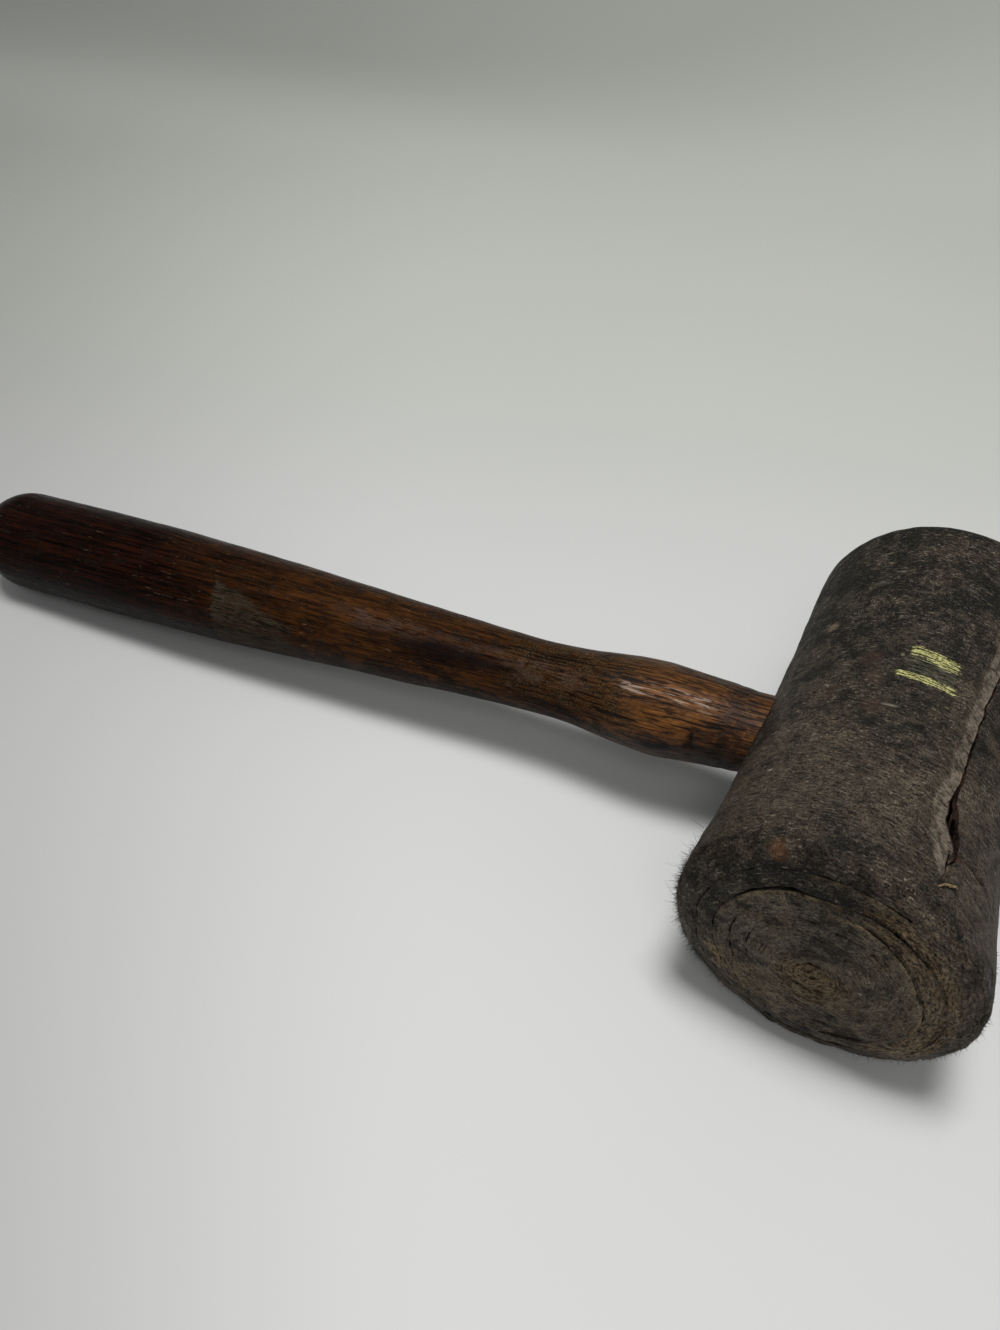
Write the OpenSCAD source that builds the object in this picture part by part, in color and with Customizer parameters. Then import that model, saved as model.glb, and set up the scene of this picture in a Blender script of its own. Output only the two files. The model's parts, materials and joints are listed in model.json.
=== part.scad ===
// Rawhide mallet lying at rest: a head of tightly rolled hide on a turned wooden handle.
// The head's axis runs along Y, the handle points to -X and slopes down to the bench, and +Z is up.
// The near rim is pounded wider than the far one, so the head's axis dips a little towards the far face.

/* [Head] */
// Length of the head from face to face
head_l = 141; // [110:1:180]
// Radius of the head at its waist
waist_r = 35; // [32:0.5:42]
// How far the pounded near rim stands out from the waist
near_swell = 3.6; // [0.5:0.1:5]
// How far the far rim stands out from the waist
far_swell = 1.7; // [0.5:0.1:5]
// Length over which the near rim's swelling dies away
near_flare_l = 19; // [12:1:40]
// Length over which the far rim's swelling dies away
far_flare_l = 27; // [8:1:40]
// Radius of the flat middle of each face
flat_r = 10; // [6:0.5:12]
// Fall of the near face from its flat middle to where the rounding starts
face_crown = 0.6; // [0.2:0.1:1.5]
// Width of the worn rounding of the near face, across the radius
near_round_w = 23.5; // [6:0.5:24.5]
// Depth of the worn rounding of the near face, along the head
near_round_d = 4; // [2:0.5:8]
// Width of the rounding of the far face, across the radius
far_round_w = 4.5; // [3:0.5:20]
// Depth of the rounding of the far face, along the head
far_round_d = 3; // [2:0.5:8]

/* [Rolled hide] */
// Thickness of the rawhide
hide_t = 4.2; // [3:0.1:5.5]
// Gap between one turn and the next
turn_gap = 0.5; // [0.45:0.05:0.8]
// Thickness that the outer wrap's free edge is pared down to
lap_edge_t = 1.5; // [0.8:0.1:2.5]
// Width of the open seam at the outer wrap's free edge
lap_gap = 1.1; // [0.5:0.1:2.5]
// Direction of the seam round the head, from +X towards +Z
lap_a = 66; // [45:1:130]
// Angle over which the pared edge thickens to the full hide
skive_a = 90; // [40:10:120]
// Whole turns in the outer wrap
outer_turns = 2; // [1:1:2]
// How far past the seam the outer wrap ends and the inner wrap starts
outer_end_a = 22; // [10:2:40]
// Radius, about, at which the inner wrap ends and the core roll starts
core_r = 11; // [9:0.5:13]
// How far past the seam the core roll starts
core_end_a = 134; // [120:2:160]
// Gap between the butted ends of two strips
butt_gap = 0.5; // [0.3:0.1:1]

/* [Handle] */
// Length of the handle from the head's axis to the butt
handle_l = 322.5; // [240:0.5:420]
// Radius of the tenon that passes through the head
tenon_r = 12; // [9:0.5:13]
// Radius of the swell beside the head
swell_r = 13.4; // [13:0.1:16]
// Distance of the swell from the head's axis
swell_s = 57; // [50:1:66]
// Radius of the handle at its narrowest
slim_r = 11.3; // [8:0.1:12.8]
// Distance of the narrowest place from the head's axis
slim_s = 98.5; // [80:0.5:120]
// Radius of the grip
grip_r = 17.6; // [13:0.1:20]
// Length of the straight stretch of the grip
grip_l = 35; // [20:1:60]
// Length of the rounded butt
butt_l = 18; // [8:1:24]
// Angle between the handle and the square across the head, seen from above
skew_a = 5.8; // [0:0.1:8]
// How far the tenon stands out of the head's far side
tenon_proud = 1.5; // [0:0.1:3]
// Chamfer at the tenon's end
tenon_chamfer = 1; // [0.4:0.1:2]

/* [Wedge] */
// Thickness of the wedge at the tenon's end
wedge_t = 4.4; // [2.5:0.1:6]
// Thickness of the wedge at its tip
wedge_tip_t = 1.2; // [0.8:0.1:2]
// Length of the wedge
wedge_l = 28; // [18:1:34]
// How much deeper the saw cut runs than the wedge
kerf_spare = 4; // [1:0.5:8]

/* [Brads] */
// Radius of a brad's head
brad_head_r = 1.9; // [1.4:0.1:2.6]
// Thickness of a brad's head
brad_head_t = 0.9; // [0.6:0.1:1.2]
// Radius of a brad's shank
brad_r = 0.8; // [0.5:0.1:1.1]
// Length of a brad under its head
brad_l = 7; // [5:0.5:8]
// Distance of each brad from where the rim's rounding starts
brad_inset = 1.5; // [1:0.5:10]
// Direction of the near brad round the head
near_brad_a = 115; // [90:1:150]
// Direction of the far brad round the head
far_brad_a = 25; // [-20:1:40]

/* [Fits] */
// Clearance round the tenon in the eye of the head
eye_clearance = 0.2; // [0.1:0.05:0.5]
// Clearance between the wedge and the saw cut
wedge_clearance = 0.1; // [0.05:0.05:0.3]
// Clearance round a brad
brad_clearance = 0.1; // [0.05:0.05:0.3]

/* [Hidden] */
$fn = 96;

// Angle between the points of a turn, and steps in a curved stretch of an outline
station_a = 10;
curve_steps = 8;
long_curve_steps = 14;
// How far cutting shapes reach past what they cut
past = 5;

half_l = head_l / 2;
near_rim_r = waist_r + near_swell;
far_rim_r = waist_r + far_swell;
near_rim_y = -half_l + near_round_d;
far_rim_y = half_l - far_round_d;
widest_r = max(near_rim_r, far_rim_r);
pitch = hide_t + turn_gap;
lap_step = lap_edge_t + turn_gap;

// The head's outline as [radius, y], from the middle of the near face to the middle of the far face
function head_r(y) = waist_r
    + near_swell * exp(-pow((y - near_rim_y) / near_flare_l, 2))
    + far_swell * exp(-pow((far_rim_y - y) / far_flare_l, 2));

near_round_r = near_rim_r - near_round_w;
near_corner = [for (i = [0:curve_steps]) let (a = 90 * i / curve_steps)
    [near_round_r + near_round_w * sin(a),
     face_crown - half_l + (near_round_d - face_crown) * (1 - cos(a))]];
far_corner = [for (i = [0:curve_steps]) let (a = 90 * i / curve_steps)
    [far_rim_r - far_round_w + far_round_w * cos(a), far_rim_y + far_round_d * sin(a)]];
side_steps = 26;
head_side = [for (i = [1:side_steps - 1]) let (y = near_rim_y + (far_rim_y - near_rim_y) * i / side_steps)
    [head_r(y), y]];
head_outline = concat([[0, -half_l], [flat_r, -half_l]], near_corner, head_side, far_corner, [[0, half_l]]);

// The roll: p is the angle travelled inwards from the outer wrap's free edge.
// The free edge is pared thin, and each turn climbs over the end of the one below it beside the seam.
function layer_t(p) =
    p < skive_a ? lap_edge_t + (hide_t - lap_edge_t) * p / skive_a :
    p > 360 - skive_a && p < 360 ? hide_t + lap_step * (p - 360 + skive_a) / skive_a :
    hide_t;
function outer_r(p) = p < 360 ? waist_r : outer_r(p - 360) - layer_t(p - 360) - turn_gap;
function inner_r(p) = outer_r(p) - layer_t(p);
function roll_point(r, p) = r * [cos(lap_a + p), sin(lap_a + p)];

// Where each strip ends: full turns, then the angle past the seam
butt_a = atan(butt_gap / (waist_r / 2));
outer_end = 360 * outer_turns + outer_end_a;
core_turns = floor((waist_r - core_r) / pitch);
core_start = 360 * core_turns + core_end_a;
// The innermost turn is the last one whose inner side still clears the axis
least_inner_r = 0.3;
last_turn = floor((waist_r - hide_t - lap_step - least_inner_r) / pitch);
core_end = 360 * (last_turn + 1);
nub_r = inner_r(core_end - 180) + turn_gap / 2;

function stations(from, to) =
    concat([from], [for (p = [station_a * (floor(from / station_a) + 1):station_a:to - 0.01]) p], [to]);

measured_turns = stations(0, core_end - 360);
least_turn_gap = min([for (p = measured_turns)
    norm(roll_point(inner_r(p), p) - roll_point(outer_r(p + 360), p))]);
echo(least_turn_gap = least_turn_gap);

// The handle's outline as [radius, distance from the head's axis]
neck_clearance = 3;
neck_s = waist_r + neck_clearance;
tenon_end = -waist_r - tenon_proud;
butt_s = handle_l - butt_l;
grip_start_s = butt_s - grip_l;
// Powers that shape the hollow between the swell and the grip
swell_fall = 1.25;
grip_rise = 1.5;
neck_curve = [for (i = [0:curve_steps]) let (u = i / curve_steps)
    [tenon_r + (swell_r - tenon_r) * sin(90 * u), neck_s + (swell_s - neck_s) * u]];
swell_curve = [for (i = [1:curve_steps]) let (u = i / curve_steps)
    [slim_r + (swell_r - slim_r) * pow(cos(90 * u), swell_fall), swell_s + (slim_s - swell_s) * u]];
grip_curve = [for (i = [1:long_curve_steps]) let (u = i / long_curve_steps)
    [slim_r + (grip_r - slim_r) * pow(sin(90 * u), grip_rise), slim_s + (grip_start_s - slim_s) * u]];
butt_curve = [for (i = [0:curve_steps]) let (a = 90 * i / curve_steps)
    [grip_r * cos(a), butt_s + butt_l * sin(a)]];
handle_outline = concat(
    [[0, tenon_end], [tenon_r - tenon_chamfer, tenon_end], [tenon_r, tenon_end + tenon_chamfer]],
    neck_curve, swell_curve, grip_curve, butt_curve);

// At rest both rims and the grip touch the bench: the rims set how far the head's axis dips and how high
// it lies, and the grip sets how far the handle slopes down
dip_a = atan((near_rim_r - far_rim_r) / (far_rim_y - near_rim_y));
head_z = near_rim_r * cos(dip_a) + near_rim_y * sin(dip_a);
slope_a = min([for (q = concat(grip_curve, butt_curve)) asin(head_z / norm(q)) - atan2(q[0], q[1])]);
turn_down_a = asin((sin(slope_a) + sin(skew_a) * sin(dip_a)) / (cos(skew_a) * cos(dip_a)));
run = cos(skew_a) * cos(turn_down_a);
butt_reach = butt_s * run + norm([butt_l * run, grip_r * sqrt(1 - run * run)]);
tenon_reach = -tenon_end * run + (tenon_r - tenon_chamfer) * sqrt(1 - run * run);
head_x = (butt_reach - max(widest_r, tenon_reach)) / 2;
head_y_low = min([for (q = head_outline) q[1] * cos(dip_a) - q[0] * abs(sin(dip_a))]);
head_y_high = max([for (q = head_outline) q[1] * cos(dip_a) + q[0] * abs(sin(dip_a))]);
head_centre = [head_x, -(head_y_low + head_y_high) / 2, head_z];

// Places a shape drawn about the origin, with the head's axis along Y, as the head lies
module at_head() {
    translate(head_centre) rotate([-dip_a, 0, 0]) children();
}

// Places a shape drawn along +Z, from the head's axis to the butt, along the handle
module at_handle() {
    at_head() rotate([0, -turn_down_a, 0]) rotate([0, 0, skew_a]) rotate([0, -90, 0]) children();
}

// The whole outer form of the head, before it is divided into strips
module head_blank() {
    rotate([-90, 0, 0]) rotate_extrude() polygon(head_outline);
}

// The section of the roll from one angle to another, as a prism along the head
module roll_section(from, to, y_from, y_to) {
    open_to = min(to, 360 - atan(lap_gap / waist_r));
    outside = from < 360
        ? concat([for (p = stations(from, open_to)) roll_point(widest_r + past, p)],
                 [for (p = stations(open_to, to)) roll_point(p < 360 ? outer_r(360) : outer_r(p), p)])
        : [for (p = stations(from, to)) roll_point(outer_r(p), p)];
    inside = [for (p = stations(from, to)) roll_point(inner_r(p), p)];
    turned_back = [for (i = [len(inside) - 1:-1:0]) inside[i]];
    translate([0, y_to, 0]) rotate([90, 0, 0]) linear_extrude(y_to - y_from)
        polygon(concat(outside, turned_back));
}

// The hole through the head for the tenon
module eye() {
    translate([0, 0, -widest_r - past]) cylinder(r = tenon_r + eye_clearance, h = 2 * (widest_r + past));
}

// A strip of the roll with the head's outer form and the eye through it
module strip(from, to, y_from = -half_l - past, y_to = half_l + past) {
    difference() {
        at_head() intersection() {
            head_blank();
            union() {
                roll_section(from, to, y_from, y_to);
                children();
            }
        }
        at_handle() eye();
    }
}

// One brad pointing at the head's axis, grown by a clearance to cut its hole
module brad(angle, y, grow = 0) {
    head_top = head_r(y);
    at_head() translate([0, y, 0]) rotate([0, 90 - angle, 0]) {
        translate([0, 0, head_top - brad_head_t - brad_l - grow])
            cylinder(r = brad_r + grow, h = brad_l + brad_head_t, $fn = 24);
        translate([0, 0, head_top - brad_head_t - grow])
            cylinder(r = brad_head_r + grow, h = brad_head_t + grow * (1 + past / brad_clearance), $fn = 24);
    }
}

module both_brads(grow = 0) {
    brad(near_brad_a, near_rim_y + brad_inset, grow);
    brad(far_brad_a, far_rim_y - brad_inset, grow);
}

// The outline of the wedge in the plane of the handle's axis and the head's axis
module wedge_outline(grow = 0, tip_at = wedge_l) {
    polygon([[-wedge_t / 2 - grow, tenon_end], [wedge_t / 2 + grow, tenon_end],
             [wedge_tip_t / 2 + grow, tenon_end + wedge_l], [wedge_tip_t / 2 + grow, tenon_end + tip_at],
             [-wedge_tip_t / 2 - grow, tenon_end + tip_at], [-wedge_tip_t / 2 - grow, tenon_end + wedge_l]]);
}

// The wedge's or saw cut's prism, as wide as the tenon
module wedge_prism(width) {
    rotate([90, 0, 90]) translate([0, 0, -width / 2]) linear_extrude(width) children();
}

// Turned handle with its tenon sawn for the wedge
module handle() {
    color("#5b2c14") at_handle() difference() {
        rotate_extrude() polygon(handle_outline);
        wedge_prism(2 * tenon_r + past) union() {
            wedge_outline(wedge_clearance, wedge_l + kerf_spare);
            translate([-wedge_t / 2 - wedge_clearance, tenon_end - past])
                square([wedge_t + 2 * wedge_clearance, past]);
        }
    }
}

// Wooden wedge driven into the end of the tenon
module handle_wedge() {
    color("#8a6238") at_handle() intersection() {
        wedge_prism(2 * tenon_r) wedge_outline(0, wedge_l + 0.01);
        translate([0, 0, tenon_end]) cylinder(r = tenon_r - tenon_chamfer, h = wedge_l + past);
    }
}

// Outer strip: its free edge is the seam that runs along the head
module outer_wrap() {
    color("#37302b") difference() {
        strip(0, outer_end - butt_a);
        both_brads(brad_clearance);
    }
}

// Inner strip, butted against the outer strip's end
module inner_wrap() {
    color("#46413c") strip(outer_end + butt_a, core_start - butt_a);
}

// Half of the tightly rolled core: the eye cuts the core in two
module core_half(y_from, y_to) {
    color("#54402c") strip(core_start + butt_a, core_end, y_from, y_to)
        translate([0, y_to, 0]) rotate([90, 0, 0]) cylinder(r = nub_r, h = y_to - y_from);
}

module near_core_roll() {
    core_half(-half_l - past, 0);
}

module far_core_roll() {
    core_half(0, half_l + past);
}

// Rusted brads that pin the outer wrap, one near each rim
module brads() {
    color("#7a4a28") both_brads();
}

handle();
handle_wedge();
outer_wrap();
inner_wrap();
near_core_roll();
far_core_roll();
brads();
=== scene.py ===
"""Looks of an old rawhide mallet lying on a bench: a roll of hide on a turned, varnished handle.

The head's pieces are built in the head's own frame: Y runs along the head from the near face to the far
one, Z is up and X points away from the handle. The handle's pieces are built in the handle's frame: Z
runs from the head's axis to the butt, and X is up. Both frames are in millimetres until a mesh is made.
"""
import json
import math

import bpy
import numpy as np
from mathutils import Matrix, Vector


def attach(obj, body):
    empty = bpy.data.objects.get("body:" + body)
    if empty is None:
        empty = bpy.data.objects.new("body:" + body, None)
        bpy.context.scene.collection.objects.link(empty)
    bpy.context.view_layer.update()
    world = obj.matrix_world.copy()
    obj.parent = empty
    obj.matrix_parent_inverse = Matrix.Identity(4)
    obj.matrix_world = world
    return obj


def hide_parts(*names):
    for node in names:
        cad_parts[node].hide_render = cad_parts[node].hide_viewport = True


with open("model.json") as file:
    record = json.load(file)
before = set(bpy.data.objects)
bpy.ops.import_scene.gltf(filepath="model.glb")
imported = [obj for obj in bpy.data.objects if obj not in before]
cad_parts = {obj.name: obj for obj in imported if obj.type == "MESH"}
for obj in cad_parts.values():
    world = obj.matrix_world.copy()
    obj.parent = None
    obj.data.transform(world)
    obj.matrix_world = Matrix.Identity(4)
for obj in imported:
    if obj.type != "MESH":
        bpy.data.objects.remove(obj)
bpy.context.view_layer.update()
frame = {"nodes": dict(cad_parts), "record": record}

MM = 0.001

# The head's worn form, which lies from 4 mm inside the part's round one to 1 mm outside it
WAIST_R = 35.0
NEAR_SWELL = 2.6
FAR_SWELL = 1.8
NEAR_FLARE_L = 18.5
FAR_FLARE_L = 32.0
FLAT_R = 10.0
FACE_CROWN = 1.1
NEAR_ROUND_W = 15.8
NEAR_ROUND_D = 6.9
FAR_ROUND_W = 7.3
FAR_ROUND_D = 6.0
# How far the near rim lies out of round: millimetres on the cosines and sines of one, two and three turns
RIM_COSINES = (1.3, -0.48, 0.33)
RIM_SINES = (0.9, -1.42, -0.1)
OUT_OF_ROUND_L = 26.0

# The roll, as in the part's source
HIDE_T = 4.2
TURN_GAP = 0.5
LAP_EDGE_T = 1.5
LAP_GAP = 1.1
LAP_A = 66.0
SKIVE_A = 90.0
OUTER_END = 742.0
CORE_START = 1934.0
CORE_END = 2520.0
# The turns meet end to end, where the part keeps them a little apart
BUTT_A = 0.12

# The handle's form, as in the part's source, apart from a sharper swell
HANDLE_L = 322.5
TENON_R = 12.0
TENON_END = -36.5
TENON_CHAMFER = 1.0
NECK_S = 38.0
SWELL_R = 14.0
SWELL_S = 63.5
SLIM_R = 11.3
SLIM_S = 98.5
GRIP_R = 17.6
GRIP_START_S = 269.5
BUTT_L = 18.0
BUTT_S = HANDLE_L - BUTT_L
WEDGE_T = 4.4
WEDGE_TIP_T = 1.2
WEDGE_L = 28.0
KERF_L = 32.0
WEDGE_GAP = 0.1
EYE_R = 12.3

# The brads
BRAD_R = 1.9
NEAR_BRAD_Y = -66.2
FAR_BRAD_Y = 66.0
NEAR_BRAD_A = 115.0
FAR_BRAD_A = 25.0


def unit(vector):
    return vector / np.linalg.norm(vector, axis=-1, keepdims=True)


mounts = {mount["name"]: mount for mount in frame["record"]["mounts"]}
near_face = np.array(mounts["near_face"]["pos_m"]) / MM
far_face = np.array(mounts["far_face"]["pos_m"]) / MM
head_centre = (near_face + far_face) / 2
HALF_L = np.linalg.norm(far_face - near_face) / 2
head_y = unit(far_face - near_face)
head_x = np.array([1.0, 0.0, 0.0])
head_z = np.cross(head_x, head_y)
handle_z = unit(np.array(mounts["grip"]["axis"]))
handle_x = -unit(np.cross(handle_z, head_y))
handle_x *= math.copysign(1, handle_x[2])
handle_y = np.cross(handle_z, handle_x)

NEAR_RIM_R = WAIST_R + NEAR_SWELL
FAR_RIM_R = WAIST_R + FAR_SWELL
NEAR_RIM_Y = NEAR_ROUND_D - HALF_L
FAR_RIM_Y = HALF_L - FAR_ROUND_D
NEAR_ROUND_R = NEAR_RIM_R - NEAR_ROUND_W
NEAR_ROUND_L = NEAR_ROUND_D - FACE_CROWN
# Where the outer turn ends, a gap short of its own start
LAST_A = 360 - math.degrees(LAP_GAP / WAIST_R)
HEAD_AXIS = np.array([0.0, 1.0, 0.0])


def place(x_axis, y_axis, z_axis, origin_mm):
    """The matrix of a frame whose axes are given in the row frame."""
    rows = [[*column, at * MM] for column, at in zip(zip(x_axis, y_axis, z_axis), origin_mm)]
    return Matrix([*rows, [0, 0, 0, 1]])


HEAD = place(head_x, head_y, head_z, head_centre)
HANDLE = place(handle_x, handle_y, handle_z, head_centre)
HANDLE_IN_HEAD = np.array(HEAD.inverted() @ HANDLE)[:3, :3]


def points_at(x, y, z):
    """Points from their coordinates, each of them an array or one number."""
    return np.stack(np.broadcast_arrays(x, y, z), -1)


def spoke(angle):
    """The direction away from the head's axis at an angle in degrees."""
    turn = np.radians(angle)
    return points_at(np.cos(turn), 0, np.sin(turn))


# Noise and soft steps

def lattice_noise(points, seed):
    """Smooth noise from -1 to 1 with one feature per unit of length."""
    size = 48
    table = np.random.default_rng(seed).uniform(-1, 1, (size, size, size))
    cell = np.floor(points).astype(int)
    step = points - cell
    step = step * step * (3 - 2 * step)
    total = np.zeros(len(points))
    for corner in np.ndindex(2, 2, 2):
        weight = np.prod(np.where(corner, step, 1 - step), axis=1)
        x, y, z = ((cell + corner) % size).T
        total += weight * table[x, y, z]
    return total


def noise(points, size, seed, octaves=2):
    """Noise from about -1 to 1 whose largest features are size apart; size may differ along each axis."""
    shape = points.shape[:-1]
    flat = points.reshape(-1, 3) / np.asarray(size, float)
    total = sum(lattice_noise(flat * 2 ** k + 11.7 * k, seed + k) * 0.5 ** k for k in range(octaves))
    return total.reshape(shape) * 1.4


def fraction(value, low, high):
    """How far value lies from low to high, from 0 to 1; low may be the larger."""
    return np.clip((value - low) / (high - low), 0, 1)


def rise(value, low, high):
    """Smooth step from 0 at low to 1 at high; low may be the larger."""
    t = fraction(value, low, high)
    return t * t * (3 - 2 * t)


def bump(value, middle, width):
    """A bell of height 1 at middle."""
    return np.exp(-((value - middle) / width) ** 2)


def between(value, low, high, soft):
    """1 from low to high, falling to 0 over soft on both sides."""
    return rise(value, low - soft, low) * rise(value, high + soft, high)


def turn_from(angle, middle):
    """Signed angle in degrees from middle to angle, from -180 to 180."""
    return (angle - middle + 180) % 360 - 180


def unrolled(angle):
    """The same angle from -90 to 270, so that it only jumps under the head."""
    return turn_from(angle, 90) + 90


def sector(angle, low, high, soft):
    """1 from one angle to another, falling to 0 over soft on both sides."""
    middle = (low + high) / 2
    return between(turn_from(angle, middle), low - middle, high - middle, soft)


def blob(u, v, place, size):
    """A bell of height 1 at a place, with its own width along u and along v."""
    return np.exp(-((u - place[0]) / size[0]) ** 2 - ((v - place[1]) / size[1]) ** 2)


def path_distance(u, v, path):
    """Distance from each (u, v) to a line through the path's points."""
    nearest = np.full(u.shape, 1e9)
    for (u0, v0), (u1, v1) in zip(path[:-1], path[1:]):
        du, dv = u1 - u0, v1 - v0
        along = np.clip(((u - u0) * du + (v - v0) * dv) / (du * du + dv * dv), 0, 1)
        nearest = np.minimum(nearest, np.hypot(u - u0 - along * du, v - v0 - along * dv))
    return nearest


# The roll: p is the angle in degrees travelled inwards from the outer wrap's free edge

def layer_t(p):
    """Thickness of the hide: pared at the free edge, and thinner again where it climbs onto that edge."""
    lap_step = LAP_EDGE_T + TURN_GAP
    pared = LAP_EDGE_T + (HIDE_T - LAP_EDGE_T) * p / SKIVE_A
    climbing = HIDE_T + lap_step * (p - 360 + SKIVE_A) / SKIVE_A
    return np.where(p < SKIVE_A, pared, np.where((p > 360 - SKIVE_A) & (p < 360), climbing, HIDE_T))


def outer_r(p):
    """Radius of the strip's outside."""
    p = np.asarray(p, float)
    radius = np.full(p.shape, WAIST_R)
    left = p.copy()
    while np.any(left >= 360):
        inside = left >= 360
        left = np.where(inside, left - 360, left)
        radius = np.where(inside, radius - layer_t(left) - TURN_GAP, radius)
    return radius


def inner_r(p):
    return outer_r(p) - layer_t(p)


def side_r(y):
    """Radius of the head's outside at y."""
    near_flare = NEAR_SWELL * bump(y, NEAR_RIM_Y, NEAR_FLARE_L)
    return WAIST_R + near_flare + FAR_SWELL * bump(y, FAR_RIM_Y, FAR_FLARE_L)


def near_y(r):
    """Place of the near face at radius r: flat, then crowned, then rounded to the rim."""
    crowned = FACE_CROWN * fraction(r, FLAT_R, NEAR_ROUND_R)
    q = fraction(r, NEAR_ROUND_R, NEAR_RIM_R)
    return -HALF_L + crowned + NEAR_ROUND_L * (1 - np.sqrt(1 - q * q))


def far_y(r):
    """Place of the far face at radius r: flat, then rounded to the rim."""
    q = fraction(r, FAR_RIM_R - FAR_ROUND_W, FAR_RIM_R)
    return FAR_RIM_Y + FAR_ROUND_D * np.sqrt(1 - q * q)


def out_of_round(angle, y):
    """How far the side stands out from the round form, near the near rim."""
    turn = np.radians(angle)
    shift = sum(c * np.cos(k * turn) + s * np.sin(k * turn)
                for k, (c, s) in enumerate(zip(RIM_COSINES, RIM_SINES), 1))
    # Where the rim rests on the bench it keeps its full radius
    resting = 1.15 * bump(turn_from(angle, -90), 0, 20) * bump(y, NEAR_RIM_Y + 1, 6)
    return shift * bump(y, -HALF_L, OUT_OF_ROUND_L) + resting


# Marks on the head. Angles are in degrees from +X towards +Z, and lengths in millimetres.

# The seam: places along the head, the left edge's angle there, and how wide it stands open, in degrees
SEAM_Y = (-72, -60, -57, -51, -46, -42, -39, -34.5, -32, -28, -21.5, -12, -5, 3, 14, 26, 50, 72)
SEAM_LEFT = (64, 63.2, 62.8, 60.2, 58.2, 62.4, 65.2, 66, 65.6, 64.4, 63.5, 63.6, 62.8, 62.5, 60.6,
             60.2, 61, 61)
SEAM_OPEN = (-1.4, -1.3, -1.2, -1, 0.4, 3.8, 5.6, 4.2, 2.6, 1.2, 0.6, 0.4, 0.6, 0.4, 0.5, 0.4, 0.4, 0.4)
# The pale pared band beside the seam: the angle of its far side
BAND_Y = (-72, -57, -51, -46, -36, -27, -17, -8, 2, 20, 72)
BAND_END = (63, 63, 71.5, 77, 76, 73.5, 72, 72.5, 71.5, 70, 69)
# The torn hide beside the seam, as (angle, y)
TEAR_ACROSS = [(59, -45.9), (55.5, -45.6), (52.5, -44.7), (47, -45), (41, -45.2), (36.5, -46), (32, -48.5)]
TEAR_TO_RIM = [(58.3, -46), (60, -51), (62.8, -57), (61.2, -62), (62.5, -68)]
TEAR_W = 0.5
# Where the turns lie off the even roll, as angles and millimetres: at the open crack and at the lip below it
CRACK_ANGLES = (70, 84, 92, 112, 140, 158, 175)
CRACK_SHIFTS = (0, -1.0, -1.7, -1.2, -1.1, -0.3, 0)
LIP_ANGLES = (-35, -14, -5, 18, 34, 48, 65, 75, 84, 100, 120)
LIP_SHIFTS = (0, 0, 0.2, -1.0, -0.65, 0, 0.4, 1.0, 1.2, 0.4, 0)
# Cracks in the near face, as (x, z)
FACE_CRACKS = [
    [(-21.8, -3.1), (-19.9, 3.5), (-17.8, 6.3), (-15.4, 10.2), (-9.5, 12.2)],
    [(-17.4, -6.2), (-14.3, 1.3)],
    [(11.2, -21.6), (16.7, -19.9), (22.4, -13.2)],
    [(1.5, 17.6), (7.0, 18.0), (13.8, 15.6)],
]
FACE_CRACK_W = 0.22
# The sunk middle of the near face, as (x, z)
CORE_EYE = (0.9, -4.7)
CORE_EYE_R = 8.8
# The pale patch on the near face: its middle, as (x, z), and the cosine and sine of its slope
PATCH = (-23.5, -12.7)
PATCH_SLOPE = (0.5, 0.87)


def groove_strength(p):
    """How open the groove between turn p and the turn inside it is, from 0 to 1."""
    first = 0.04 + 0.22 * between(p, 64, 90, 12) + 0.12 * bump(p, 12, 10)
    second = 0.05 + 0.72 * between(p, 397, 443, 13) + 0.4 * between(p, 655, 684, 9)
    turns = [p < 382, p < OUTER_END, p < OUTER_END + 360, p < CORE_START]
    return np.select(turns, [first, second, 0.08, 0.05], 0.02)


def lip_highlight_strength(p):
    """How strongly a painted highlight lies on the outer edge of turn p, from 0 to 1."""
    at_rim = 0.5 * between(p, 362, 394, 8)
    under_crack = 0.5 * between(p, 744, 800, 8)
    return at_rim + under_crack + between(p, 1000, 1101, 10)


def crack_open(p):
    """Half the extra width of the open crack between the two wraps."""
    return 0.1 * between(p, 400, 430, 18) + 0.04 * bump(p, 470, 20)


def layer_shift(angle, r):
    """How far the turns lie off the even roll near the face."""
    crack = np.interp(unrolled(angle), CRACK_ANGLES, CRACK_SHIFTS) * bump(r, 27.6, 3.2)
    lip = np.interp(unrolled(angle), LIP_ANGLES, LIP_SHIFTS) * bump(r, 23.8, 2.3)
    return crack + lip


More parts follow.
